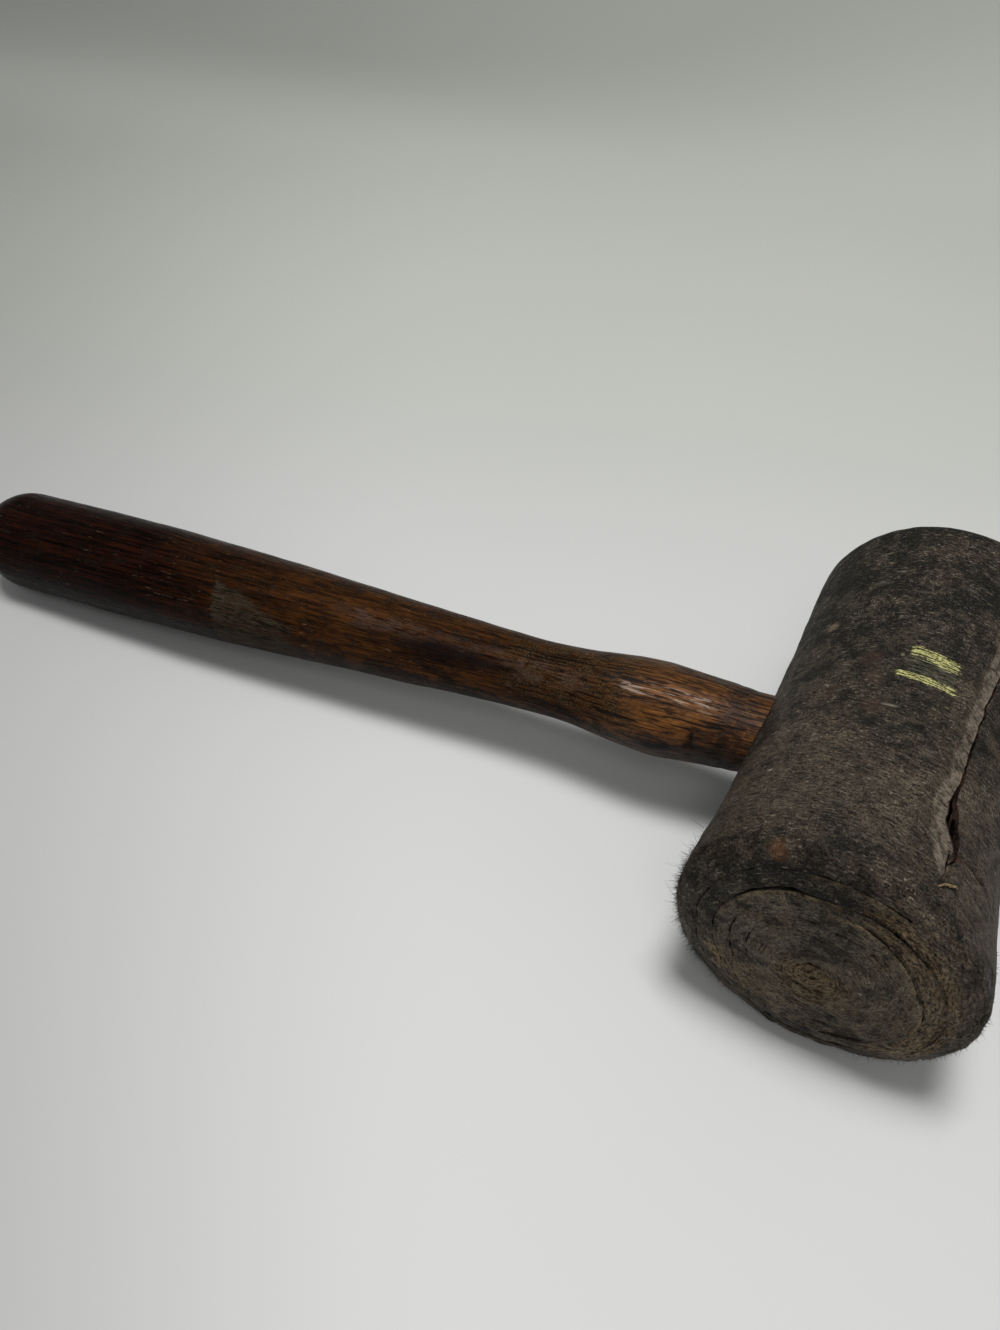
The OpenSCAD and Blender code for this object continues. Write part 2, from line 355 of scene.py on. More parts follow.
def side_relief(angle, y):
    """Height of the head's side over its plain form, and the masks that its material reads."""
    arc = np.radians(unrolled(angle)) * WAIST_R
    around = points_at(np.cos(np.radians(angle)) * WAIST_R, y, np.sin(np.radians(angle)) * WAIST_R)
    height = 0.22 * noise(around, 30, 11) + 0.12 * noise(around, 9, 12) + 0.06 * noise(around, 2.6, 13)
    height += 0.04 * noise(points_at(arc, y, 0), (5, 1.2, 1), 14)
    height += 0.22 * noise(around, 4.5, 15) * rise(y, -54, -65)

    # The pared edge of the outer wrap slopes down to the seam
    edge = np.interp(y, SEAM_Y, SEAM_LEFT)
    from_seam = turn_from(angle, edge)
    width = np.maximum(np.interp(y, BAND_Y, BAND_END) - edge, 0.3) + 0.8 * noise(points_at(y, 0, 0), 6, 16)
    beside = from_seam > -0.4
    bevel = rise(from_seam, width, width * 0.35) * beside
    fade = rise(y, 46, 26)
    height -= 0.75 * rise(from_seam, width, 0.5) * beside * fade * rise(y, -60, -48)
    height += 0.35 * bump(from_seam, width + 1.2, 2.4) * fade * rise(y, -60, -50)
    height += 0.25 * bump(from_seam, -2.5, 2) * ~beside * rise(y, -60, -46)
    # Nearer the rim a shallow gully goes on where the seam is pounded shut
    height -= 0.5 * bump(from_seam, 0.5, 3.5) * between(y, -66, -47, 3)

    # The tears are cut in and painted dark as shade
    groove = np.zeros_like(y)
    jitter = 0.5 * noise(around, 3, 17)
    for path, depth in ((TEAR_ACROSS, 1.0), (TEAR_TO_RIM, 0.45)):
        points = [(math.radians(a) * WAIST_R, b) for a, b in path]
        distance = path_distance(arc, y, points) + jitter * 0.7
        groove = np.maximum(groove, depth * bump(distance, 0, TEAR_W))
    height -= 0.8 * groove

    worn = bevel * rise(y, 60, 40) * rise(y, -60, -52)
    suede = rise(y + 4 * noise(around, 13, 18), -16, -32) * rise(y + 3 * noise(around, 9, 19), -62, -54)
    worn = np.maximum(worn, 0.45 * suede)
    # Painted shade: darker towards the far end, most from the top round to the handle's side
    painted_shade = 0.8 * rise(y + 5 * noise(around, 16, 20), 4, 24) * (0.3 + 0.7 * rise(unrolled(angle), 60, 82))
    return height, {"groove": groove, "worn": worn, "painted_shade": painted_shade}


def face_relief(p, angle, r):
    """Height of the near face over its plain form, and the masks that its material reads."""
    x, z = r * np.cos(np.radians(angle)), r * np.sin(np.radians(angle))
    flat = points_at(x, 0, z)
    fibres = points_at(np.radians(angle) * 24, 0, r)
    height = 0.3 * noise(flat, 11, 21) + 0.2 * noise(flat, 3.4, 22) + 0.05 * noise(fibres, (3, 1, 1.2), 23)
    height += 0.05 * noise(flat, 1.3, 27)

    # The worn outer wrap lies lower than the inner one on the right, and its fibres stand out
    outer = rise(p, OUTER_END, OUTER_END - 24)
    dished = sector(angle, -20, 80, 14) * rise(r, 33.5, 30)
    height -= 0.42 * dished * outer
    bristly = sector(angle, -40, 70, 16) * rise(r, 22, 26) * outer
    height += 0.17 * noise(fibres, (1.0, 1, 2.2), 24) * bristly
    height -= 0.12 * bump(r, 29, 1.6) * sector(angle, 80, 165, 10)

    # The core is a little sunk, with its fibres pulled about
    from_eye = np.hypot(x - CORE_EYE[0], z - CORE_EYE[1]) + 0.8 * noise(flat, 5, 28)
    core = np.exp(-(from_eye / CORE_EYE_R) ** 4)
    height += core * (-0.25 + 0.3 * noise(flat, (3.2, 1, 1.5), 25) + 0.15 * noise(flat, (1.4, 1, 0.8), 29))
    height += 0.22 * bump(from_eye, CORE_EYE_R - 0.6, 1.2) * rise(z, 8, -8)

    # The cracks are cut in and painted dark as shade
    groove = np.zeros_like(r)
    jitter = 0.4 * noise(flat, 2.6, 26)
    for path in FACE_CRACKS:
        groove = np.maximum(groove, 0.6 * bump(path_distance(x, z, path) + jitter, 0, FACE_CRACK_W))
    height -= 0.3 * groove

    patch_x, patch_z = x - PATCH[0], z - PATCH[1]
    patch_u = patch_x * PATCH_SLOPE[0] - patch_z * PATCH_SLOPE[1]
    patch_v = patch_x * PATCH_SLOPE[1] + patch_z * PATCH_SLOPE[0]
    patch = np.exp(-patch_u ** 2 / 30 - patch_v ** 2 / 3)
    eye = blob(x, z, (4.6, 1.0), (3.4, 2.2))
    low_left = blob(x, z, (-15, -17), (9, 7))
    bristly_tan = 0.8 * bristly * rise(r, 34, 31)
    tan = np.maximum.reduce([1.6 * patch, 0.6 * core + 0.6 * eye, 0.6 * low_left, bristly_tan])
    worn = 0.25 * bristly + 0.2 * rise(r, 31, 36)
    grey = rise(r, 25.5, 23.5) * (1 - core) * rise(z - 0.5 * x, -14, 6)
    # Painted shade: at the top and upper left between crack and rim, and on the right of the core's ring
    painted_shade = sector(angle, 67, 165, 14) * rise(r, 25.5, 28) * rise(r, 37, 33)
    painted_shade = np.maximum(painted_shade, 0.6 * core * rise(from_eye, 3, 7) * rise(x, -2, 3))
    return height, {"groove": 0.85 * groove, "worn": worn, "tan": tan, "grey": grey, "painted_shade": 0.5 * painted_shade}


MASKS = ("groove", "worn", "tan", "grey", "lip", "painted_shade")


def displace(p, angle, r, y, skin):
    """Moves a strip's points from the plain roll to the worn one; skin is 1 on the head's outside.

    Returns their new radii and places along the head, and the masks.
    """
    normal_r, normal_y = section_normals(r, y)
    facing = rise(-normal_y, 0.15, 0.8) * skin
    near = rise(y, -HALF_L + 16, -HALF_L + 3)
    r = r + layer_shift(angle, r) * near
    side_height, side_masks = side_relief(angle, y)
    face_height, face_masks = face_relief(p, angle, r)
    height = (side_height * (1 - facing) + face_height * facing) * skin
    masks = {}
    for name in MASKS:
        masks[name] = (side_masks.get(name, 0) * (1 - facing) + face_masks.get(name, 0) * facing) * skin
    # Painted shade on the faces hidden inside the roll
    masks["groove"] = np.maximum(masks["groove"], 1 - skin)
    r = r + height * normal_r + out_of_round(angle, y) * np.clip(r / 36, 0, 1)
    y = y + height * normal_y
    return r, y, masks


def section_normals(r, y):
    """Outward normals of closed sections, from their points in order from the near end to the far one."""
    along_r = np.roll(r, -1, 1) - np.roll(r, 1, 1)
    along_y = np.roll(y, -1, 1) - np.roll(y, 1, 1)
    length = np.hypot(along_r, along_y) + 1e-9
    return along_y / length, -along_r / length


def eased(count):
    """Fractions from 0 to 1 that crowd towards both ends."""
    t = np.linspace(-1, 1, count)
    return 0.5 + 0.5 * np.sign(t) * (1 - (1 - np.abs(t)) ** 1.7)


# How far a turn's end drops beside a closed groove, how much farther beside an open one, and over what width
CLOSED_DROP = 0.03
OPEN_DROP = 0.7
DROP_W = 0.3


def edge_drop(r, inner, outer, inner_strength, outer_strength):
    """How far a turn's end is rounded down towards its two edges."""
    at_inner = (CLOSED_DROP + OPEN_DROP * inner_strength) * np.exp(-np.maximum(r - inner, 0) / DROP_W)
    at_outer = (CLOSED_DROP + OPEN_DROP * outer_strength) * np.exp(-np.maximum(outer - r, 0) / DROP_W)
    return at_inner + at_outer


def near_end(y):
    """1 at the near face, falling to 0 a little way into the head."""
    return rise(y, -HALF_L + 13, -HALF_L + 3)


# How closely the sections' points lie: how many cross a turn's near end, and their step along the outside
END_POINTS = 15
SIDE_STEP = 0.62
# How open the grooves between the turns are on the far face
FAR_GROOVES = 0.42
# The radius of an outer edge that lies out of reach
NO_EDGE = 1e3


def strip_sections(p, outermost):
    """Sections of a strip of hide at each p: points on a closed line round the strip.

    The points run from the inner edge of the near end outwards, along the outside to the far end, inwards
    and back along the inside. Returns them with three masks: the outside, a painted highlight on the lip
    and painted shade on the sunk edges and the hidden sides.
    """
    strength = groove_strength(p)[:, None]
    outer_strength = np.where(p >= 360, groove_strength(np.maximum(p - 360, 0)), 0)[:, None]
    strength = strength * (1 + 0.8 * noise(points_at(p / 12, 0, 0), 1, 33)[:, None])
    # The turns just meet, where the part keeps a gap between them
    closed = TURN_GAP / 2 + 0.03
    roll_p = np.where(outermost, p, np.maximum(p, 360))
    low = (inner_r(roll_p) - closed)[:, None]
    high = (outer_r(roll_p) + closed)[:, None]
    low_near = low + crack_open(p)[:, None] + 0.16 * strength
    high_near = high - crack_open(p - 360)[:, None] - 0.16 * outer_strength
    f = eased(END_POINTS)[None, :]
    if outermost:
        start = np.arcsin((low_near - NEAR_ROUND_R) / NEAR_ROUND_W)
        turn = start + (np.pi / 2 - start) * np.linspace(0, 1, END_POINTS + 10)[None, :]
        near_r = NEAR_ROUND_R + NEAR_ROUND_W * np.sin(turn)
        side_count = int((FAR_RIM_Y - NEAR_RIM_Y) / SIDE_STEP)
        side_at = np.linspace(NEAR_RIM_Y, FAR_RIM_Y, side_count + 1)[None, 1:]
        along_r = side_r(side_at) + 0 * low
        turn = np.linspace(0, np.pi / 2, 12)[None, 1:]
        far_r = FAR_RIM_R - FAR_ROUND_W + FAR_ROUND_W * np.cos(turn) + 0 * low
        far_r = np.maximum(far_r, low + 0.1)
    else:
        near_r = low_near * (1 - f) + high_near * f
        ends = np.array([1.2, 3, 6, 11])
        side_at = np.concatenate([-HALF_L + 4 + ends, [0], (HALF_L - 6 - ends)[::-1]])[None, :]
        along_r = high + (high_near - high) * near_end(side_at)
        far_r = high * (1 - f[:, ::2]) + low * f[:, ::2]
    along_y = side_at + 0 * low
    back = np.concatenate([HALF_L - np.array([8, 15]), [0], -HALF_L + np.array([13, 9, 6, 4.2])])[None, :]
    back_y = back + 0 * low
    back_r = low + (low_near - low) * near_end(back)

    # The second turn's start lies sunk, out of the way of the outer turn's end
    sunk = 0 if outermost else 0.8 * rise(p, 359, 356)[:, None]
    near_edge, far_edge = (NO_EDGE, NO_EDGE) if outermost else (high_near, high)
    near_drop = edge_drop(near_r, low_near, near_edge, strength, outer_strength) + sunk
    far_drop = edge_drop(far_r, low, far_edge, FAR_GROOVES, FAR_GROOVES) + sunk
    r = np.concatenate([near_r, along_r, far_r, back_r], 1)
    y = np.concatenate([near_y(near_r) + near_drop, along_y, far_y(far_r) - far_drop, back_y], 1)
    outside = np.full_like(along_r, float(outermost))
    skin = np.concatenate([np.ones_like(near_r), outside, np.ones_like(far_r), 0 * back_r], 1)
    # Painted highlight on the turn's raised outer edge at the face
    lip = np.exp(-np.maximum(high_near - near_r, 0) / 0.65) * lip_highlight_strength(p)[:, None] * (not outermost)
    lip = np.concatenate([lip, 0 * along_r, 0 * far_r, 0 * back_r], 1)
    # Painted shade where the ends are rounded down and on the sides hidden in the roll
    dark = np.concatenate([near_drop / 0.6, 1 - outside, far_drop / 0.6, np.ones_like(back_r)], 1)
    return r, y, skin, lip, dark


def end_walls(p, r, y, skin, lip, dark):
    """Adds stations at both ends of the outer turn: walls behind the pounded rim, painted dark as shade.

    There the stations are sunk to the turn's inner side. Nearer the rim they lie on those beside them.
    """
    last = len(p) - 1
    order = np.concatenate([[0, 0], np.arange(last + 1), [last, last]])
    p, r, y, skin, lip, dark = (rows[order] for rows in (p, r, y, skin, lip, dark))
    for station, depth in ((0, 9.0), (1, 0.15), (-2, 0.15), (-1, 9.0)):
        inner = r[station, -5] + 0.02
        sunk = np.minimum(r[station], np.maximum(r[station] - depth, inner))
        on_side = rise(y[station], -50, -47)
        r[station] += (sunk - r[station]) * on_side
        skin[station] *= 1 - on_side
        # The sunk walls are painted dark as shade
        dark[station] = np.maximum(dark[station], on_side)
    return p, r, y, skin, lip, dark


def build_strip(p, outermost=False):
    """Points and masks of a strip of hide whose stations are p."""
    r, y, skin, lip, dark = strip_sections(p, outermost)
    if outermost:
        p, r, y, skin, lip, dark = end_walls(p, r, y, skin, lip, dark)
    angle = (LAP_A + p)[:, None] + np.zeros_like(r)
    if outermost:
        angle = angle + seam_warp(p[:, None], y)
    r, y, masks = displace(p[:, None], angle, r, y, skin)
    masks["lip"] = lip
    masks["groove"] = np.maximum(masks["groove"], np.clip(dark, 0, 1))
    turn = np.radians(angle)
    return points_at(r * np.cos(turn), y, r * np.sin(turn)), masks


def seam_warp(p, y):
    """Degrees by which the outer turn's two ends are moved to form the seam: wandering, torn open, shut."""
    line = points_at(y, 0, 0)
    left = np.interp(y, SEAM_Y, SEAM_LEFT) + 0.3 * noise(line, 3.5, 32)
    right = left - np.interp(y, SEAM_Y, SEAM_OPEN) + 0.3 * noise(line, 2.2, 34)
    first_shift = left - LAP_A
    last_shift = right - (LAP_A + LAST_A - 360)
    return first_shift * np.exp(-p / 7) + last_shift * np.exp(-(LAST_A - p) / 7)


# Meshes and objects

def add_object(name, data):
    obj = bpy.data.objects.new(name, data)
    bpy.context.scene.collection.objects.link(obj)
    return obj


def mesh_of(name, verts, faces, masks=None):
    """A smooth mesh, in metres, of the faces as given, with the masks on its points."""
    mesh = bpy.data.meshes.new(name)
    mesh.from_pydata((verts * MM).tolist(), [], faces)
    for key, values in (masks or {}).items():
        attribute = mesh.attributes.new(key, "FLOAT", "POINT")
        attribute.data.foreach_set("value", values.astype(np.float32).ravel())
    mesh.polygons.foreach_set("use_smooth", np.ones(len(mesh.polygons), bool))
    mesh.update()
    return mesh


def grid_mesh(name, points, masks=None):
    """A tube of quads from points[station][point on a closed section], capped at both ends."""
    n, m = points.shape[:2]
    index = np.arange(n * m).reshape(n, m)
    a, b = index[:-1], index[1:]
    quads = np.stack([a, b, np.roll(b, -1, 1), np.roll(a, -1, 1)], -1).reshape(-1, 4)
    faces = quads.tolist() + [index[0].tolist(), index[-1][::-1].tolist()]
    verts = points.reshape(-1, 3)
    if signed_volume(verts, quads) < 0:
        faces = [face[::-1] for face in faces]
    return mesh_of(name, verts, faces, masks)


def signed_volume(verts, quads):
    """Six times the volume within the quads, below 0 where they face inwards."""
    a, b, c, d = (verts[quads[:, k]] for k in range(4))
    return (np.einsum("ij,ij->i", a, np.cross(b, c)) + np.einsum("ij,ij->i", a, np.cross(c, d))).sum()


def joined(name, meshes):
    """One mesh of several, with their attributes."""
    objects = [add_object(f"{name}_{k}", mesh) for k, mesh in enumerate(meshes)]
    with bpy.context.temp_override(active_object=objects[0], selected_editable_objects=objects):
        bpy.ops.object.join()
    mesh = objects[0].data
    mesh.name = name
    bpy.data.objects.remove(objects[0])
    return mesh


def cut(mesh, cutter):
    """The mesh with the cutter taken out of it."""
    target = add_object("cut_target", mesh)
    tool = add_object("cut_tool", cutter)
    modifier = target.modifiers.new("cut", "BOOLEAN")
    modifier.object = tool
    modifier.operation = "DIFFERENCE"
    modifier.solver = "MANIFOLD"
    bpy.context.view_layer.update()
    evaluated = target.evaluated_get(bpy.context.evaluated_depsgraph_get())
    result = bpy.data.meshes.new_from_object(evaluated)
    for obj in (target, tool):
        bpy.data.objects.remove(obj)
    return result


def add_piece(name, mesh, matrix, material, slot, *nodes):
    """An object that rides on the part and stands for CAD nodes.

    Its mesh is moved from the piece's own frame into the row frame, and keeps each point's place in its own
    frame, in millimetres, for the material.
    """
    points = np.empty(len(mesh.vertices) * 3, np.float32)
    mesh.vertices.foreach_get("co", points)
    mesh.attributes.new("place", "FLOAT_VECTOR", "POINT").data.foreach_set("vector", points / MM)
    mesh.transform(matrix)
    mesh.materials.clear()
    mesh.materials.append(material)
    obj = add_object(name, mesh)
    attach(obj, "root")
    if nodes:
        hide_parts(*nodes)


def ring_of(count):
    """Angles in radians, evenly spread over one turn."""
    return np.linspace(0, 2 * np.pi, count, endpoint=False)


# Pieces of the head

def stations(low, high, step):
    """Even places from low to high, about a step apart."""
    return np.linspace(low, high, max(2, int(round((high - low) / step)) + 1))


def eye_cutter():
    """A bar for the handle's eye, a little rough, that reaches through the head."""
    turn = ring_of(96)
    bar = points_at(np.cos(turn) * EYE_R, np.sin(turn) * EYE_R, np.linspace(-60, 60, 60)[:, None])
    bar[..., :2] *= (1 + 0.16 / EYE_R * noise(bar, 6, 41))[..., None]
    mesh = grid_mesh("bar", bar)
    mesh.transform(Matrix(HANDLE_IN_HEAD.tolist()).to_4x4())
    return mesh


def outer_wrap_mesh():
    """The outer turn, finer beside the seam, and the second turn under it."""
    after, before = 14, LAST_A - 20
    p = np.concatenate([stations(0, after, 0.45), stations(after, before, 0.9)[1:],
                        stations(before, LAST_A, 0.45)[1:]])
    first = grid_mesh("outer_turn", *build_strip(p, outermost=True))
    # The second turn starts a little early, so that it backs the open seam
    second = grid_mesh("second_turn", *build_strip(stations(350.0, OUTER_END - BUTT_A, 1.1)))
    return joined("outer_wrap_hide", [cut(first, eye_cutter()), cut(second, eye_cutter())])


def inner_wrap_mesh():
    p = stations(OUTER_END + BUTT_A, CORE_START - BUTT_A, 1.3)
    return cut(grid_mesh("inner_wrap_hide", *build_strip(p)), eye_cutter())


def core_mesh(name, near):
    """Half of the core roll: the eye parts it from the other half."""
    whole = grid_mesh(name, *build_strip(stations(CORE_START + BUTT_A, CORE_END, 3.0)))
    return cut(cut(whole, slab(far=near)), eye_cutter())


def slab(far):
    """A box over the far half of the head, or over the near half."""
    ends = np.array([[0], [90]]) if far else np.array([[-90], [0]])
    return grid_mesh("slab", points_at(np.array([-60.0, 60, 60, -60]), ends, np.array([-60.0, -60, 60, 60])))


def nub_mesh(low, high):
    """The folded middle of the core."""
    turn = ring_of(28)
    r = np.concatenate([np.linspace(0.15, 3.1, 7), np.full(5, 3.15), np.linspace(3.1, 0.15, 4)])[:, None]
    y = np.concatenate([np.full(7, low), np.linspace(low + 0.4, high - 0.4, 5), np.full(4, high)])[:, None]
    points = points_at(r * np.cos(turn) * 1.02, y, r * np.sin(turn) * 0.95)
    points[..., 1] += 0.4 * noise(points, 1.6, 43) * (np.abs(points[..., 1] - low) < 0.1)
    masks = {name: np.zeros(points.shape[:2]) for name in MASKS}
    masks["tan"] = masks["tan"] + 0.75
    return grid_mesh("nub", points, masks)


def build_head(outer_hide, inner_hide, core_hide):
    add_piece("outer_wrap_hide", outer_wrap_mesh(), HEAD, outer_hide, "outer_hide", "outer_wrap")
    add_piece("inner_wrap_hide", inner_wrap_mesh(), HEAD, inner_hide, "inner_hide", "inner_wrap")
    near_core = joined("near_core", [core_mesh("near_core", True), nub_mesh(-HALF_L + 0.15, -14)])
    add_piece("near_core_hide", near_core, HEAD, core_hide, "core_hide", "near_core_roll")
    far_core = joined("far_core", [core_mesh("far_core", False), nub_mesh(14, HALF_L - 0.1)])
    add_piece("far_core_hide", far_core, HEAD, core_hide, "core_hide", "far_core_roll")


def rim_place(turn):
    """A point on the plain near rim's rounding, and its outward normal; turn is 90 degrees at the side."""
    turn = np.radians(turn)
    r = NEAR_ROUND_R + NEAR_ROUND_W * np.sin(turn)
    y = -HALF_L + FACE_CROWN + NEAR_ROUND_L * (1 - np.cos(turn))
    normal_r, normal_y = NEAR_ROUND_L * np.sin(turn), -NEAR_ROUND_W * np.cos(turn)
    length = np.hypot(normal_r, normal_y)
    return r, y, normal_r / length, normal_y / length


def brad_mesh(angle, r, y, normal_r, normal_y, seed):
    """A rusted brad: a low pitted dome over a short shank."""
    turn = ring_of(40)
    profile = np.array([(0.06, -7), (0.8, -6.2), (0.8, -0.95), (1.75, -0.85), (BRAD_R, -0.6),
                        (BRAD_R - 0.03, -0.25), (1.6, -0.04), (1.2, 0.06), (0.8, 0.1), (0.4, 0.12),
                        (0.06, 0.12)])
    radius, height = profile[:, :1], profile[:, 1:]
    points = points_at(radius * np.cos(turn), radius * np.sin(turn), height)
    points += 0.08 * noise(points, 0.7, seed)[..., None] * np.array([1, 1, 1.4])
    away = spoke(angle)
    out = away * normal_r + HEAD_AXIS * normal_y
    across = np.cross(HEAD_AXIS, away)
    along = np.cross(across, out)
    centre = away * (r + out_of_round(angle, y)) + HEAD_AXIS * y
    return grid_mesh("brad", centre + points @ np.stack([along, across, out]))


def near_brad_place():
    """The near brad's point on the rim's rounding, and its outward normal."""
    return rim_place(math.degrees(math.acos(1 - (NEAR_BRAD_Y + HALF_L - FACE_CROWN) / NEAR_ROUND_L)))


def build_brads(rust):
    near = brad_mesh(NEAR_BRAD_A, *near_brad_place(), 51)
    slope = (FAR_BRAD_Y - FAR_RIM_Y) / FAR_ROUND_D
    upright = math.sqrt(1 - slope * slope)
    far = brad_mesh(FAR_BRAD_A, FAR_RIM_R - FAR_ROUND_W * (1 - upright), FAR_BRAD_Y, upright, slope, 52)
    add_piece("rusted_brads", joined("rusted_brads", [near, far]), HEAD, rust, "rusty_steel", "brads")


def fuzz_mesh(count, seed):
    """Loose fibres: thin bent threads that stand on the pounded near rim and along the face's edge."""
    rng = np.random.default_rng(seed)
    angle = rng.uniform(0, 360, count * 4)
    thick = 0.3 + 0.7 * sector(angle, 105, 235, 20) + 0.3 * sector(angle, -100, 10, 20)
    angle = angle[rng.uniform(0, 1, count * 4) < thick][:count]
    n = len(angle)
    turn = rng.triangular(42, 78, 104, n)
    r, y, normal_r, normal_y = rim_place(np.minimum(turn, 90))
    y = y + np.maximum(turn - 90, 0) * 0.9
    r = r + out_of_round(angle, y) - 0.3
    away = spoke(angle)
    across = np.cross(away, HEAD_AXIS)
    root = away * r[:, None] + HEAD_AXIS * y[:, None]
    way = away * normal_r[:, None] + HEAD_AXIS * normal_y[:, None]
    way = unit(way + across * rng.normal(0, 0.6, (n, 1)) + HEAD_AXIS * rng.normal(0, 0.45, (n, 1)))
    bend = rng.normal(0, 0.5, (n, 3))
    length = rng.gamma(3.5, 0.26, (n, 1)) * (0.7 + 0.5 * sector(angle, 110, 210, 20))[:, None]
    # Fibres under the head stay short, so that none reaches the bench
    length = length * (1 - 0.85 * sector(angle, -112, -68, 12))[:, None]
    width = rng.uniform(0.04, 0.085, (n, 1))
    side_a = unit(np.cross(way, HEAD_AXIS + 0.01))
    side_b = np.cross(way, side_a)
    rings = []
    for t in (0.0, 0.35, 0.7, 1.0):
        centre = root + way * length * t + bend * length * t * t * 0.6
        for corner in ring_of(3):
            side = side_a * math.cos(corner) + side_b * math.sin(corner)
            rings.append(centre + side * (width * (1.02 - t * 0.85)))
    verts = np.stack(rings, 1).reshape(-1, 3)
    # One fibre has twelve points, in four rings of three, and both of its ends are closed
    pairs = [(3 * level + k, 3 * level + (k + 1) % 3) for level in range(3) for k in range(3)]
    one = [(a, b, b + 3, a + 3) for a, b in pairs] + [(2, 1, 0), (9, 10, 11)]
    faces = [[v + 12 * fibre for v in face] for fibre in range(n) for face in one]
    return mesh_of("rim_fuzz", verts, faces)


# Straws that stand out where the seam is torn, as (angle, y, height over the plain side)
STRAWS = [
    [(62.6, -57.0, 0.1), (60.2, -56.2, 0.4), (57.9, -55.3, 0.6), (56.4, -54.7, 0.5)],
    [(61.6, -56.0, 0.1), (59.4, -55.6, 0.4), (57.4, -55.0, 0.4)],
    [(63.6, -57.8, 0.0), (62.2, -56.8, 0.3), (61.2, -55.6, 0.3)],
]


def straw_mesh(path, radius, seed):
    """A thin split fibre that follows a path."""
    turn, y, height = np.array(path).T
    t = np.linspace(0, 1, 16)
    knots = np.linspace(0, 1, len(path))
    turn, y, height = (np.interp(t, knots, values) for values in (np.radians(turn), y, height))
    r = side_r(y) + out_of_round(np.degrees(turn), y) + height
    centre = points_at(r * np.cos(turn), y, r * np.sin(turn))
    centre += 0.12 * noise(centre, 0.8, seed)[:, None]
    out = points_at(np.cos(turn), 0, np.sin(turn))
    side = unit(np.cross(out, np.gradient(centre, axis=0)))
    corner = ring_of(6)[:, None]
    # A straw is flat: wider along the hide than it stands up from it
    spread = 0.6 * np.cos(corner) * out[:, None] + 1.6 * np.sin(corner) * side[:, None]
    width = (radius * np.sin(np.pi * (0.06 + 0.88 * t)) ** 0.5)[:, None, None]
    return grid_mesh("straw", centre[:, None] + width * spread)


# Pieces of the handle

def handle_r(s):
    """Radius of the handle at s from the head's axis, up to the butt's rounding."""
    neck = TENON_R + (SWELL_R - TENON_R) * fraction(s, NECK_S, SWELL_S) ** 0.85
    swell = SLIM_R + (SWELL_R - SLIM_R) * np.cos(np.pi / 2 * fraction(s, SWELL_S, SLIM_S)) ** 2
    grip = SLIM_R + (GRIP_R - SLIM_R) * np.sin(np.pi / 2 * fraction(s, SLIM_S, GRIP_START_S)) ** 1.5
    butt = GRIP_R * np.sqrt(1 - fraction(s, BUTT_S, HANDLE_L) ** 2)
    return np.select([s < SWELL_S, s < SLIM_S, s < BUTT_S], [neck, swell, grip], butt)


# Marks on the handle, by their distance s from the head's axis. Angles are from the handle's top, in
# degrees, and are below 0 on the near side. The nick has both.
NICK = (51.8, -70)
SCUFF_END = 213
RING_S = 42.5


def build_handle(wood):
    degrees = stations(0, 360, 1.5)[:-1]
    turn = np.radians(degrees)
    tenon_end = [TENON_END, TENON_END, TENON_END + TENON_CHAMFER]
    s = np.concatenate([tenon_end, stations(TENON_END + 2, BUTT_S, 0.8)])
    r = handle_r(s)
    r[:3] = 0.05, TENON_R - TENON_CHAMFER, TENON_R
    round_off = np.linspace(0, np.pi / 2, 34)[1:]
    s = np.concatenate([s, BUTT_S + BUTT_L * np.sin(round_off)])[:, None]
    r = np.concatenate([r, GRIP_R * np.cos(round_off) + 0.02])[:, None]
    around = points_at(r * np.cos(turn), r * np.sin(turn), s)
    from_top = turn_from(degrees, 0)
    scuff = scuff_mask(around, s, from_top)
    nick = nick_mask(s, from_top)
    height = 0.22 * noise(around, 28, 61) + 0.07 * noise(around, 8, 62)
    height += 0.02 * noise(around, (2.5, 2.5, 14), 63)
    height -= 0.2 * scuff + 0.55 * nick + 0.12 * bump(s, RING_S, 0.9)
    # The tenon in the head stays plain
    height *= rise(s, NECK_S - 1, NECK_S + 4) * np.clip(r / 4, 0, 1)
    around[..., :2] *= (1 + height / r)[..., None]
    masks = {"scuff": scuff, "nick": nick, "stain_and_shade": stain_and_shade_mask(around, s, from_top)}
    mesh = cut(grid_mesh("turned_handle", around, masks), kerf_cutter())
    add_piece("turned_handle", mesh, HANDLE, wood, "handle_wood", "handle")


def scuff_mask(around, s, from_top):
    """A dull scraped patch with one straight edge, wide at the underside and narrow above."""
    ragged = noise(around, 3.5, 67)
    start = SCUFF_END - 7 - 21 * rise(from_top, -33, -68) - 2 * ragged
    upright = sector(from_top, -116, -36 - 4 * ragged, 6)
    return rise(s, SCUFF_END + 0.9, SCUFF_END) * rise(s, start - 3, start + 3) * upright


def nick_mask(s, from_top):
    """A small three-cornered cut: a point above, wider below."""
    below = from_top - NICK[1]
    width = 0.25 + 0.05 * np.clip(12 - below, 0, 30)
    return bump(s - 0.02 * below, NICK[0], width) * between(below, -14, 12, 4)


